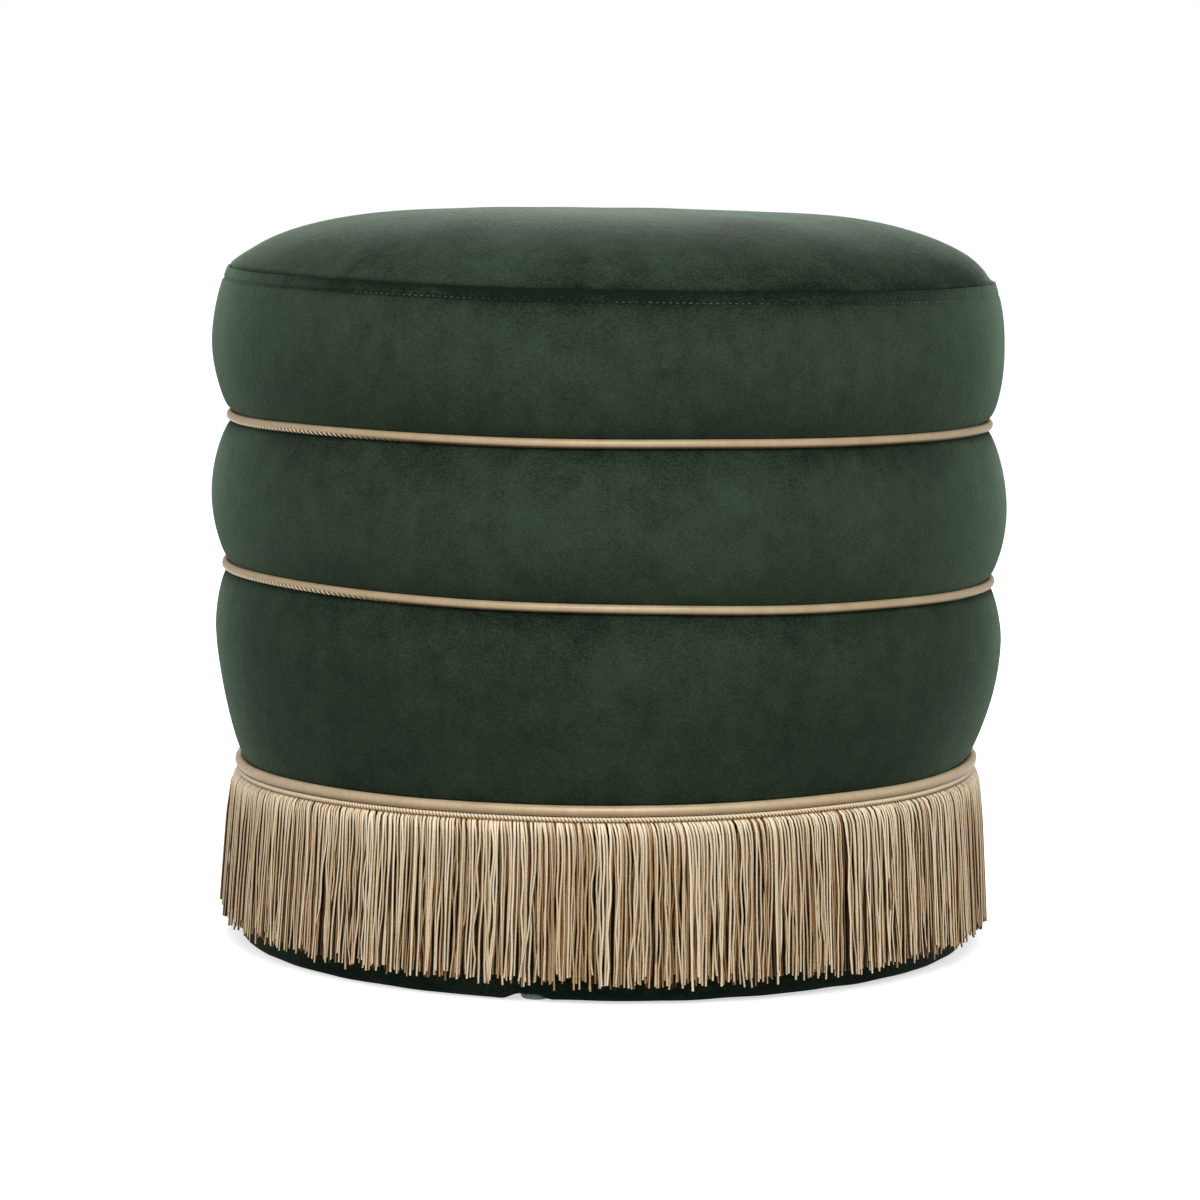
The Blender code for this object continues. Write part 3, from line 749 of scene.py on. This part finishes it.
def unit_tube(shape, sides, rings):
    """A closed tube of radius 1 round Z with a ring of points at each whole height from 0 to rings."""
    upright = Matrix.Translation((0.0, 0.0, rings / 2))
    made = bmesh.ops.create_cone(
        shape, cap_ends=True, segments=sides, radius1=1.0, radius2=1.0, depth=rings, matrix=upright
    )
    points = set(made["verts"])
    sides_up = [edge for edge in shape.edges if points.issuperset(edge.verts)
                and abs(edge.verts[0].co.z - edge.verts[1].co.z) > 0.5]
    bmesh.ops.subdivide_edges(shape, edges=sides_up, cuts=rings - 1, use_grid_fill=True)
    return [*shape.verts, *shape.edges, *shape.faces]


def lay(shape, template, rings, mark=None, flank_shade=0.0):
    """Copies the template tube into the shape. Each ring is a centre, two directions, a girth and a tone.

    The tone goes to the mark, and flank paints shade on the side that faces inwards by taking some of it off.
    """
    for item in bmesh.ops.duplicate(shape, geom=template)["geom"]:
        if isinstance(item, bmesh.types.BMVert):
            centre, across, outwards, girth, tone = rings[round(item.co.z)]
            if mark:
                item[mark] = tone + flank_shade * (item.co.y - 1)
            item.co = centre + girth * (item.co.x * across + item.co.y * outwards)


def close_off(shape, template):
    """Takes the template away once its copies are laid."""
    bmesh.ops.delete(shape, geom=template, context="FACES")
    bmesh.ops.recalc_face_normals(shape, faces=shape.faces)


thread = spun_thread("green_thread", 0.6, 0.5, seen(16, 28, 18), seen(98, 118, 95))
stitches = bmesh.new()
tone_mark = stitches.verts.layers.float.new("tone")
template = unit_tube(stitches, 6, STITCH_RINGS)
stitch_count = round(math.tau * UPPER_ROLL.radius_at(stitch_height) / STITCH_PITCH)
draw = random.Random(11)
for number in range(stitch_count):
    middle = math.tau * number / stitch_count
    clear = (0.38 + 0.24 * math.cos(CLEAR_PATCHES * (middle - CLEAR_STITCHES))) * draw.uniform(0.6, 1.1)
    radius = UPPER_ROLL.radius_at(stitch_height) + stitched_down(middle, stitch_height, 1.0)
    radius += 0.00025 * clear - 0.0002
    slack = draw.uniform(-0.0001, 0.0001)
    rings = []
    for ring in range(STITCH_RINGS + 1):
        share = ring / STITCH_RINGS - 0.5
        turn = middle + share * STITCH_LENGTH / radius
        sink = STITCH_SINK * (2 * share) ** 4
        girth = STITCH_GIRTH * (1 - 0.45 * (2 * share) ** 4)
        height = stitch_height + slack + share * 0.0004
        rings.append((settled(turn, radius - sink, height), UP, out_at(turn), girth, clear))
    lay(stitches, template, rings, tone_mark)
close_off(stitches, template)
stand_for(placed("seam_topstitching", stitches, thread), "green_velvet")

# Plinth band: velvet over the drum's foot, behind the fringe, where painted shade darkens it. It turns under
# the base in a hem, painted darkest as shade, that hangs almost to the floor, and is lifted only where it
# passes over a glide.
FLEECE = 0.0025
PLINTH_RADIUS = DRUM_RADIUS + 3 * FIT + FLEECE + VELVET - FIT
HEM_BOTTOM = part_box("plinth_band")[0].z
HEM_WIDTH = 0.0165
HEM_CORNER = 0.0014
HEM_SAG = 0.0031
HEM_EDGE = 0.010
HEM_STRIP = 0.0085
HEM_BEND = 0.004
LIFT_ASIDE = -0.012
LIFT_HALF = 0.020
LIFT_EASE = 0.048
glide_turns = []
for number in range(1, 5):
    low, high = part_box(f"glide_pad_{number}")
    glide_turns.append(math.atan2(low.y + high.y, low.x + high.x))


def hem_give(turn, height, radius):
    """The plinth's face is flat, with slow waves towards its foot."""
    foot = max(0.0, 1 - height / 0.05)
    return 0.0008 * foot * ripple(turn, height, 4, 12)


def shaded_foot(turn, height):
    """Painted shade behind the fringe, darkest along the hem."""
    patch = 1.0 + 0.4 * ripple(turn, height, 6, 10)
    return (0.34 if height > HEM_STRIP + 0.001 else 0.46) * patch


corner = [
    (PLINTH_RADIUS - HEM_CORNER * (1 - math.cos(turn)), HEM_BOTTOM + HEM_CORNER * (1 - math.sin(turn)))
    for turn in (math.radians(step * 15) for step in range(7))
]
plinth_face = [(PLINTH_RADIUS, 0.006 * step) for step in range(17, 1, -1)]
outline = [
    *LOWER_LINE.flange(-1),
    (PLINTH_RADIUS - 0.0006, LOWER_LINE.lip(-1)),
    *plinth_face,
    (PLINTH_RADIUS + 0.0003, HEM_STRIP + 0.0015),
    (PLINTH_RADIUS, HEM_STRIP),
    *corner,
    (PLINTH_RADIUS - HEM_EDGE / 2, HEM_BOTTOM),
    (PLINTH_RADIUS - HEM_EDGE, HEM_BOTTOM),
    (PLINTH_RADIUS - HEM_WIDTH, HEM_BOTTOM + 0.0003),
]
band, cut_size = laid_round("plinth_band_velvet", BAND_COLUMNS, outline, worn_velvet, hem_give, shaded_foot)
for point in band.data.vertices:
    if point.co.z < HEM_STRIP + HEM_BEND:
        turn = math.atan2(point.co.y, point.co.x)
        reach = math.hypot(point.co.x, point.co.y)
        edge = min(1.0, max(0.0, (reach - PLINTH_RADIUS + HEM_EDGE) / (HEM_EDGE / 2)))
        hold = edge * min(1.0, max(0.0, (HEM_STRIP + HEM_BEND - point.co.z) / 0.006))
        away = min(abs(apart(turn - glide, LIFT_ASIDE)) for glide in glide_turns)
        over_glide = 1 - min(1.0, max(0.0, (away - LIFT_HALF) / LIFT_EASE))
        sag = HEM_SAG * (1 - 0.3 * math.cos(turn))
        wave = 0.0008 * ripple(turn, 0.0, 7, 0)
        point.co.z -= hold * (1 - 0.85 * over_glide * over_glide * (3 - 2 * over_glide)) * (sag + wave)
lined(band, VELVET)
stand_for(band, "green_velvet", "plinth_band")

# Piping: a strip of gold leather-look cloth folded round a cotton cord and sewn into each groove. The
# lower line is thicker. A row of small stitches shows along the underside of the two upper lines.
PIPING_COLUMNS = 480
ARC_STEPS = 20
ROPE_SIDES = 6
ROPE_STEPS = 10
FILLER_TURNS = 110


def gilt_leather(name, gloss, dark, light):
    """Gold leather-look cloth, pebbled and finely creased. Where it is marked it turns dark brown: painted
    shade on the piping's underside, partly cloth drawn dull into its seam.
    """
    made, place = finish(name, 0.5, {"Metallic": 0.25, "Specular IOR Level": gloss})
    sewn_and_shaded = place.node("Attribute", {"attribute_name": "shade_and_pressing"}, {}, "Fac")
    pebble = place.node("TexVoronoi", {}, {"Vector": place, "Scale": 1500.0})
    mottle = speckle(place, 70.0, 4.0)
    creases = speckle(place, 1.0, 4.0, (420.0, 420.0, 60.0))
    tint = stained(mottle * 0.7 + creases * 0.5 - 0.1, dark, light)
    # Painted shade: the marked share turns the leather dark brown.
    tint = stained(sewn_and_shaded * 0.8, tint, seen(100, 72, 42))
    bump = bumpy(pebble + creases * 1.5, 0.3, 0.0002)
    feed(made, {"Base Color": tint, "Roughness": mottle * 0.3 + 0.34, "Normal": bump})
    return made


# The lower piping takes a lighter copy of the leather, a little glossier: painted light on its lit upper
# face.
leather = gilt_leather("gold_leather", 0.34, seen(164, 139, 105), seen(205, 184, 150))
lighter_leather = gilt_leather("gold_leather_painted_lighter", 0.44, seen(176, 151, 116), seen(222, 200, 164))
cotton = fibrous(
    "cotton_cord", 0.95, seen(200, 190, 168), seen(240, 234, 218),
    scale=700.0, detail=5.0, strength=0.5, depth=0.0004,
)


def uneven_cord(turn, height, radius):
    """A hand-filled cord is not quite even."""
    return 0.00018 * ripple(turn, height, 16, 40)


PROUD_STITCHES = math.radians(150)
PROUD_STITCHES_REACH = math.radians(96)
PROUD_STITCHES_FADE = math.radians(20)


def proud(turn):
    """1 where the piping's edge stitches stand proud, at the left and the back. 0 where they have sunk in."""
    away = abs(apart(turn, PROUD_STITCHES))
    return min(1.0, max(0.0, (PROUD_STITCHES_REACH - away) / PROUD_STITCHES_FADE))


def shaded_underside(line, depth, start, reach, ribbed=0.0):
    """Marks painted shade on the piping's underside, partly cloth that the seam draws flat and dull, from
    start down, in cord radii.
    """

    def shade_and_pressing(turn, height):
        first = start - ribbed * proud(turn)
        return depth * min(1.0, max(0.0, ((line.height - height) / line.tube - first) / reach))

    return shade_and_pressing


for line, cloth, underside_shade in (
    (LOWER_LINE, lighter_leather, shaded_underside(LOWER_LINE, 0.5, -0.30, 0.70)),
    (MIDDLE_LINE, leather, shaded_underside(MIDDLE_LINE, 0.9, 0.30, 0.50, 0.40)),
    (UPPER_LINE, leather, shaded_underside(UPPER_LINE, 1.0, 0.30, 0.40, 0.30)),
):
    name = f"{line.name}_piping"
    rise = FIT / 2 + PIPING_CLOTH
    neck = math.pi - math.asin(rise / line.girth)
    arc = [neck - 2 * neck * step / ARC_STEPS for step in range(ARC_STEPS + 1)]
    tube = [(line.radius + line.girth * math.cos(a), line.height + line.girth * math.sin(a)) for a in arc]
    edge = DRUM_RADIUS + FIT
    outline = [(edge, line.height + rise), *tube, (edge, line.height - rise)]
    sleeve, cut_size = laid_round(name, PIPING_COLUMNS, outline, cloth, uneven_cord, underside_shade)
    lined(sleeve, PIPING_CLOTH)
    stand_for(sleeve, "gold_leather", f"{name}_sleeve")


def rope(name, line_radius, height, plies, lay_radius, ply_radius, turns, made, tone=0.5):
    """A twisted rope laid round the drum: each ply is a helix round the rope's own line.

    Turns below zero wind it the other way. The tone paints light and shade into the yarn: palest on the crest
    of each ply and on the rope's upper side, as painted light from above, darkest down between the plies, as
    painted shade.
    """
    shape = bmesh.new()
    tone_mark = shape.verts.layers.float.new("tone")
    strip_map = shape.loops.layers.uv.new("strip")
    helix = math.tau * turns
    for ply in range(plies):
        grown = bmesh.ops.create_grid(
            shape, x_segments=abs(turns) * ROPE_STEPS, y_segments=ROPE_SIDES, size=0.5
        )["verts"]
        for face in {face for point in grown for face in point.link_faces}:
            for corner in face.loops:
                x, y = corner.vert.co.x, corner.vert.co.y
                corner[strip_map].uv = (y + 0.5, (x + 0.5) * math.tau * line_radius)
        start = math.tau * ply / plies
        for point in grown:
            share = point.co.x + 0.5
            turn = BACK + math.tau * share
            twist = start + helix * share
            out = out_at(turn)
            along = Vector((-math.sin(turn), math.cos(turn), 0.0))
            lead = out * math.cos(twist) + UP * math.sin(twist)
            swing = UP * math.cos(twist) - out * math.sin(twist)
            run = (along * line_radius * math.tau + swing * lay_radius * helix).normalized()
            flat = run.cross(lead)
            girth = math.tau * point.co.y
            middle = settled(turn, line_radius, height) + lead * lay_radius
            skin = lead * math.cos(girth) + flat * math.sin(girth)
            rise = (lead * lay_radius + skin * ply_radius).z / (lay_radius + ply_radius)
            # Painted light and shade: pale on each ply's crest and on the upper side, dark between the plies.
            point[tone_mark] = tone + 0.40 * (2 * math.cos(girth) - 1) + 0.50 * rise
            point.co = middle + ply_radius * skin
    bmesh.ops.remove_doubles(shape, verts=shape.verts, dist=MERGE)
    bmesh.ops.recalc_face_normals(shape, faces=shape.faces)
    return placed(name, shape, made)


for line in (LOWER_LINE, MIDDLE_LINE, UPPER_LINE):
    name = f"{line.name}_piping"
    core = line.tube - PIPING_CLOTH - FIT
    filler = rope(
        f"{name}_filler", line.radius, line.height, plies=3, lay_radius=core * 0.48, ply_radius=core * 0.5,
        turns=FILLER_TURNS, made=cotton,
    )
    stand_for(filler, "cotton_cord", f"{name}_cord")

# Edge stitches: a row of short slanting stitches of gold thread that sews the lower edge of the two upper
# pipings down. They stand out as small ribs only where the cloth hasn't swallowed them.
EDGE_STITCH_PITCH = 0.0039
EDGE_STITCH_LENGTH = 0.0015
EDGE_STITCH_GIRTH = 0.00038
EDGE_STITCH_TURN = math.radians(-38)
EDGE_STITCH_SLANT = math.radians(25)
edging = bmesh.new()
tone_mark = edging.verts.layers.float.new("tone")
template = unit_tube(edging, 5, 2)
for line in (MIDDLE_LINE, UPPER_LINE):
    count = round(math.tau * line.radius / EDGE_STITCH_PITCH)
    for number in range(count):
        middle = math.tau * number / count
        stands = proud(middle)
        rings = []
        for ring in range(3):
            turn = middle + (ring - 1) * EDGE_STITCH_LENGTH / 2 / line.radius
            slant = EDGE_STITCH_TURN + (1 - ring) * EDGE_STITCH_SLANT
            radius = line.radius + line.girth * math.cos(slant) + uneven_cord(turn, line.height, 0.0)
            height = line.height + line.girth * math.sin(slant)
            sink = (-0.0002 if ring == 1 else 0.0001) + 0.0007 * (1 - stands)
            # Sunk stitches are painted darker: painted shade in the seam's crease.
            rings.append((settled(turn, radius - sink, height), UP, out_at(turn), EDGE_STITCH_GIRTH, stands))
        lay(edging, template, rings, tone_mark)
close_off(edging, template)
gold_thread = spun_thread("gold_thread", 0.45, 0.4, seen(150, 124, 94), seen(255, 238, 208))
stand_for(placed("piping_edge_stitches", edging, gold_thread), "gold_leather")

# Fringe heading: a woven tape sewn round the plinth, and on its face one two-ply rope of the fringe's own
# yarn, which covers the roots of the strands.
yarn, place = finish("fringe_yarn", 0.5, {"Sheen Weight": 0.05, "Specular IOR Level": 0.3})
# The tone mark holds the yarn's own paleness and its painted light and shade; the ramp's darkest stops are
# the brown-black of painted shade between strands.
strand_tone_and_shade = place.node("Attribute", {"attribute_name": "tone"}, {}, "Fac")
fibre = speckle(place, 1300.0)
share = strand_tone_and_shade + fibre * 0.45 - 0.0668
tint = place.node("ValToRGB", {"stops": [
    (0.0, seen(38, 20, 4)), (0.3, seen(117, 79, 38)), (0.55, seen(176, 140, 91)), (1.0, seen(252, 237, 208)),
]}, {0: share})
feed(yarn, {"Base Color": tint, "Normal": bumpy(fibre * 0.8, 0.6, 0.0003)})

heading_low, heading_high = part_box("fringe_heading")
ROPE_TURNS = -325
ROPE_REACH = 0.00186
rope_height = (heading_low.z + heading_high.z) / 2 + 0.0007
rope_line = heading_high.x - 0.0006
tape_outer = rope_line - 0.6 * ROPE_REACH
tape_section = [
    (tape_outer, heading_high.z),
    (tape_outer, heading_low.z),
    (PLINTH_RADIUS + FIT, heading_low.z),
    (PLINTH_RADIUS + FIT, heading_high.z),
    (tape_outer, heading_high.z),
]
tape, _ = laid_round("fringe_heading_tape", 240, tape_section, yarn)
stand_for(tape, "fringe_yarn", "fringe_heading")
heading_rope = rope(
    "fringe_heading_rope", rope_line, rope_height, plies=2, lay_radius=ROPE_REACH * 0.46,
    ply_radius=ROPE_REACH * 0.54, turns=ROPE_TURNS, made=yarn, tone=0.42,
)
stand_for(heading_rope, "fringe_yarn")

# Fringe skirt: three rows of twisted rayon cords, sewn under the heading. They swell out over its lower
# edge, hang close together in loose clumps and end unevenly above the floor.
STRANDS_PER_ROW = 750
ROW_DEPTH = 0.0016
STRAND_TOP = rope_height - 0.0007
STRAND_HEM = 0.0138
STRAND_FALL = STRAND_TOP - STRAND_HEM
STRAND_GIRTH = 0.00066
STRAND_RINGS = 12
STRAND_SIDES = 6
STRAND_ROOT = heading_high.x - 0.0012
SHOULDER_RADIUS = heading_high.x + 0.0035
HEM_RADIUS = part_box("fringe_skirt")[1].x
HEM_SPREAD = 0.0022
CLUMP_SPAN = 0.0095
STRAND_FLANK_SHADE = 0.85
STRAND_LEAN = 0.0026
STRAY_SHARE = 0.035


def skirt_radius(drop):
    """The outer row's centreline, by how far below the heading it is."""
    shoulder = 1 - math.exp(-drop / 0.0022)
    hang = SHOULDER_RADIUS + (HEM_RADIUS - SHOULDER_RADIUS) * (drop / STRAND_FALL) ** 0.9
    return STRAND_ROOT + (hang - STRAND_ROOT) * shoulder - STRAND_GIRTH


def clump_pull(turn, row):
    """How far a strand is drawn sideways to its clump's middle, in metres, with clumps of uneven width."""
    place = turn * HEM_RADIUS / CLUMP_SPAN + 1.6 * noise.noise(Vector((turn * 11.0, row * 7.0, 0.0)))
    return (0.5 - (place % 1.0)) * CLUMP_SPAN


def fringe_row(name, row, seed):
    """One row of strands. The rows behind hang a little shorter and closer in, and are painted darker, as
    shade.
    """
    shape = bmesh.new()
    strip_map = shape.loops.layers.uv.new("strip")
    tone_mark = shape.verts.layers.float.new("tone")
    template = unit_tube(shape, STRAND_SIDES, STRAND_RINGS)
    for face in shape.faces:
        turns = [math.atan2(corner.vert.co.y, corner.vert.co.x) / math.tau for corner in face.loops]
        for corner, turn in zip(face.loops, turns):
            wrapped = turn + 1 if max(turns) - turn > 0.5 else turn
            corner[strip_map].uv = (wrapped, corner.vert.co.z * STRAND_FALL / STRAND_RINGS)
    depth = ROW_DEPTH * row
    draw = random.Random(seed)
    for number in range(STRANDS_PER_ROW):
        start = math.tau * (number + draw.uniform(-0.35, 0.35)) / STRANDS_PER_ROW
        gather = clump_pull(start, row) * draw.uniform(0.15, 0.55)
        gather_bend = 0.9 + 0.8 * noise.noise(Vector((start * 30.0, row * 5.0, 1.0)))
        sway = draw.gauss(0.0, 0.0009)
        lift = draw.gauss(0.0, 0.0006)
        if draw.random() < STRAY_SHARE:
            sway = draw.choice((-1, 1)) * draw.uniform(0.003, 0.009)
            lift = 0.0010
        curl = draw.gauss(0.0, 0.0005)
        flutter = draw.gauss(0.0, 0.00034)
        beat = draw.uniform(0.0, math.tau)
        lean = STRAND_LEAN * draw.uniform(0.5, 1.5)
        girth = STRAND_GIRTH * draw.uniform(0.85, 1.15)
        end = STRAND_HEM + max(-0.004, min(0.005, draw.gauss(0.0, HEM_SPREAD)))
        end += 0.0008 * row + 0.0026 * math.cos(start) ** 6
        # Random paleness, with the rows behind painted darker, as shade.
        pale = draw.gauss(0.82, 0.12) - 0.30 * row
        rings = []
        for ring in range(STRAND_RINGS + 1):
            share = (ring / STRAND_RINGS) ** 1.35
            height = STRAND_TOP + (end - STRAND_TOP) * share
            drop = STRAND_TOP - height
            waves = curl * math.sin(beat + 6.0 * share) + flutter * math.sin(2 * beat + 15.0 * share)
            side = gather * share**gather_bend + sway * share**2 + waves * min(1.0, 3 * share)
            side -= lean * math.exp(-drop / 0.0055)
            radius = skirt_radius(drop) - depth * min(1.0, drop / 0.006) + lift * min(1.0, 3 * share)
            turn = start + side / HEM_RADIUS
            across = Vector((math.sin(turn), -math.cos(turn), 0.0))
            fullness = 1 + 0.25 * math.exp(-drop / 0.005)
            # Painted highlight on each strand's upturned shoulder, and painted shade towards its end.
            tone = pale + 0.17 * math.exp(-drop / 0.008) - 0.03 * share
            rings.append((settled(turn, radius, height), across, out_at(turn), girth * fullness, tone))
        lay(shape, template, rings, tone_mark, STRAND_FLANK_SHADE)
    close_off(shape, template)
    return placed(name, shape, yarn)


stand_for(fringe_row("fringe_outer_strands", 0, 3), "fringe_yarn", "fringe_skirt")
stand_for(fringe_row("fringe_middle_strands", 1, 5), "fringe_yarn")
stand_for(fringe_row("fringe_inner_strands", 2, 7), "fringe_yarn")

# Dust cover: a round of black lining cloth over the bottom and the raw edge of the plinth's hem, stapled to
# the base board all round.
STAPLES = 44
STAPLE_BEND = [
    (-1.0, 0.0012), (-1.0, -0.0002), (-0.85, -0.0006), (0.85, -0.0006), (1.0, -0.0002), (1.0, 0.0012),
]
STAPLE_HALF = 0.005
STAPLE_GIRTH = 0.00035
STAPLE_INSET = 0.006
COVER_ROWS = 26
lining = fibrous(
    "black_lining", 0.9, seen(16, 16, 18), seen(52, 52, 55),
    scale=1.0, detail=4.0, strength=0.5, depth=0.0003, stretch=(900.0, 500.0, 500.0),
)
cover_low, cover_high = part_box("dust_cover")
cover_outline = [(cover_high.x * (1 - row / COVER_ROWS), cover_low.z) for row in range(COVER_ROWS + 1)]
cover, _ = laid_round("dust_cover_lining", 240, cover_outline, lining)
for point in cover.data.vertices:
    reach = math.hypot(point.co.x, point.co.y) / cover_high.x
    wave = noise.noise(Vector((30 * point.co.x, 30 * point.co.y, 2.0)))
    spread = min(1.0, 6 * (1 - reach))
    point.co.z = cover_low.z + 0.0006 * spread * (0.4 + wave)
lined(cover, cover_high.z - cover_low.z)
stand_for(cover, "black_lining", "dust_cover")

staples = bmesh.new()
template = unit_tube(staples, 6, 5)
for number in range(STAPLES):
    turn = math.tau * (number + 0.4) / STAPLES
    skew = turn + 0.2 * noise.noise(Vector((number * 1.7, 0.0, 0.0)))
    middle = out_at(turn) * (cover_high.x - STAPLE_INSET)
    run = Vector((-math.sin(skew), math.cos(skew), 0.0))
    rings = []
    for share, level in STAPLE_BEND:
        place = middle + run * (STAPLE_HALF * share) + Vector((0.0, 0.0, cover_low.z + level))
        rings.append((place, run.cross(UP), UP if abs(share) < 0.9 else run, STAPLE_GIRTH, 0.0))
    lay(staples, template, rings)
close_off(staples, template)
stand_for(placed("dust_cover_staples", staples, zinc), "zinc_steel")

# Glides: four moulded nylon pads under the base, pale and a little translucent, each held by a nail
# through its middle.
GLIDE_FACETS = 40
NAIL_BORE = 0.00155
NAIL_RECESS = 0.0043
NAIL_DEPTH = 0.002
nylon, place = finish("nylon", 0.32, {"Subsurface Weight": 0.35, "Subsurface Radius": (0.004, 0.005, 0.004)})
scuff = speckle(place, 380.0, 4.0)
tint = stained(scuff, seen(150, 174, 156), seen(200, 218, 204))
feed(nylon, {"Base Color": tint, "Roughness": scuff * 0.5 + 0.12})
for number in range(1, 5):
    low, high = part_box(f"glide_pad_{number}")
    middle = (low + high) / 2
    radius = (high.x - low.x) / 2 / math.cos(math.pi / 20)
    top = high.z
    outline = [
        (NAIL_BORE, top), (radius - 0.0008, top), (radius - 0.0002, top - 0.0003), (radius, top - 0.001),
        (radius - 0.0001, 0.0012), (radius - 0.0005, 0.0004), (radius - 0.0012, 0.0),
        (NAIL_RECESS + 0.0003, 0.0), (NAIL_RECESS, 0.0003), (NAIL_RECESS, NAIL_DEPTH),
        (NAIL_BORE, NAIL_DEPTH),
    ]
    shape = bmesh.new()
    points = [shape.verts.new((r, 0.0, z)) for r, z in outline]
    edges = [shape.edges.new(pair) for pair in zip(points, [*points[1:], points[0]])]
    bmesh.ops.spin(
        shape, geom=[*points, *edges], cent=(0, 0, 0), axis=(0, 0, 1), angle=math.tau, steps=GLIDE_FACETS,
        use_merge=True,
    )
    bmesh.ops.remove_doubles(shape, verts=shape.verts, dist=MERGE)
    bmesh.ops.recalc_face_normals(shape, faces=shape.faces)
    bmesh.ops.translate(shape, verts=shape.verts, vec=(middle.x, middle.y, 0.0))
    stand_for(placed(f"glide_{number}", shape, nylon, 35), "nylon", f"glide_pad_{number}")

# Studio: a plain white floor that keeps a faint shadow, even soft light all round and a large soft lamp
# above the camera. The camera stands where the photograph was taken from.
CAMERA_PLACE = (-0.0048, -2.5, 0.479)
CAMERA_PITCH = math.radians(6.33)
CAMERA_ROLL = math.radians(0.8)
CAMERA_LENS = 125.4
WHITE = (1.0, 1.0, 1.0, 1.0)
FLOOR_GLOW = 0.62
SKY_LIGHT = 0.70
floor = bmesh.new()
bmesh.ops.create_grid(floor, x_segments=1, y_segments=1, size=12.0)
paper, nodes = finish("white_floor", 0.9)
floor_tree = paper.node_tree
shown = nodes.node("Emission", {}, {"Color": WHITE, "Strength": FLOOR_GLOW})
matt = nodes.node("BsdfDiffuse", {}, {"Color": (0.8, 0.8, 0.8, 1.0)})
white = nodes.node("AddShader", {}, {0: shown, 1: matt})
dull = nodes.node("BsdfDiffuse", {}, {"Color": (0.10, 0.10, 0.10, 1.0)})
camera_ray, glossy_ray, glass_ray = [
    nodes.node("LightPath", output=f"Is {kind} Ray") for kind in ("Camera", "Glossy", "Transmission")
]
plain = camera_ray.maths("MAXIMUM", camera_ray.maths("MAXIMUM", camera_ray, glossy_ray), glass_ray)
both = nodes.node("MixShader", {}, {0: plain, 1: dull, 2: white})
floor_tree.links.new(both.output, floor_tree.nodes["Material Output"].inputs["Surface"])
placed("studio_floor", floor, paper)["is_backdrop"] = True

sky = bpy.data.worlds.new("studio")
bpy.context.scene.world = sky
sky.use_nodes = True
nodes = Socket(sky.node_tree)
glow = nodes.node("Background", {}, {"Color": WHITE, "Strength": SKY_LIGHT})
backdrop = nodes.node("Background", {}, {"Color": WHITE, "Strength": 1.0})
camera_ray = nodes.node("LightPath", output="Is Camera Ray")
both = nodes.node("MixShader", {}, {0: camera_ray, 1: glow, 2: backdrop})
sky.node_tree.links.new(both.output, sky.node_tree.nodes["World Output"].inputs["Surface"])


def lamp(name, place, aim, size, power):
    """A square soft lamp that faces its aim."""
    light = bpy.data.lights.new(name, "AREA")
    light.size = size
    light.energy = power
    obj = bpy.data.objects.new(name, light)
    bpy.context.scene.collection.objects.link(obj)
    obj.location = place
    obj.rotation_euler = (Vector(aim) - Vector(place)).to_track_quat("-Z", "Y").to_euler()


lamp("key_softbox", (0.08, -2.2, 1.9), (0.0, 0.0, 0.2), size=1.5, power=46.0)
lamp("top_softbox", (0.0, 2.4, 1.45), (0.0, 0.0, 0.4), size=1.2, power=48.0)

view = bpy.data.cameras.new("camera")
view.lens = CAMERA_LENS
camera = bpy.data.objects.new("camera", view)
bpy.context.scene.collection.objects.link(camera)
camera.matrix_world = (
    Matrix.Translation(CAMERA_PLACE)
    @ Matrix.Rotation(math.pi / 2 - CAMERA_PITCH, 4, "X")
    @ Matrix.Rotation(CAMERA_ROLL, 4, "Z")
)
bpy.context.scene.camera = camera
bpy.context.scene.view_settings.view_transform = "Standard"

low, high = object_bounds()
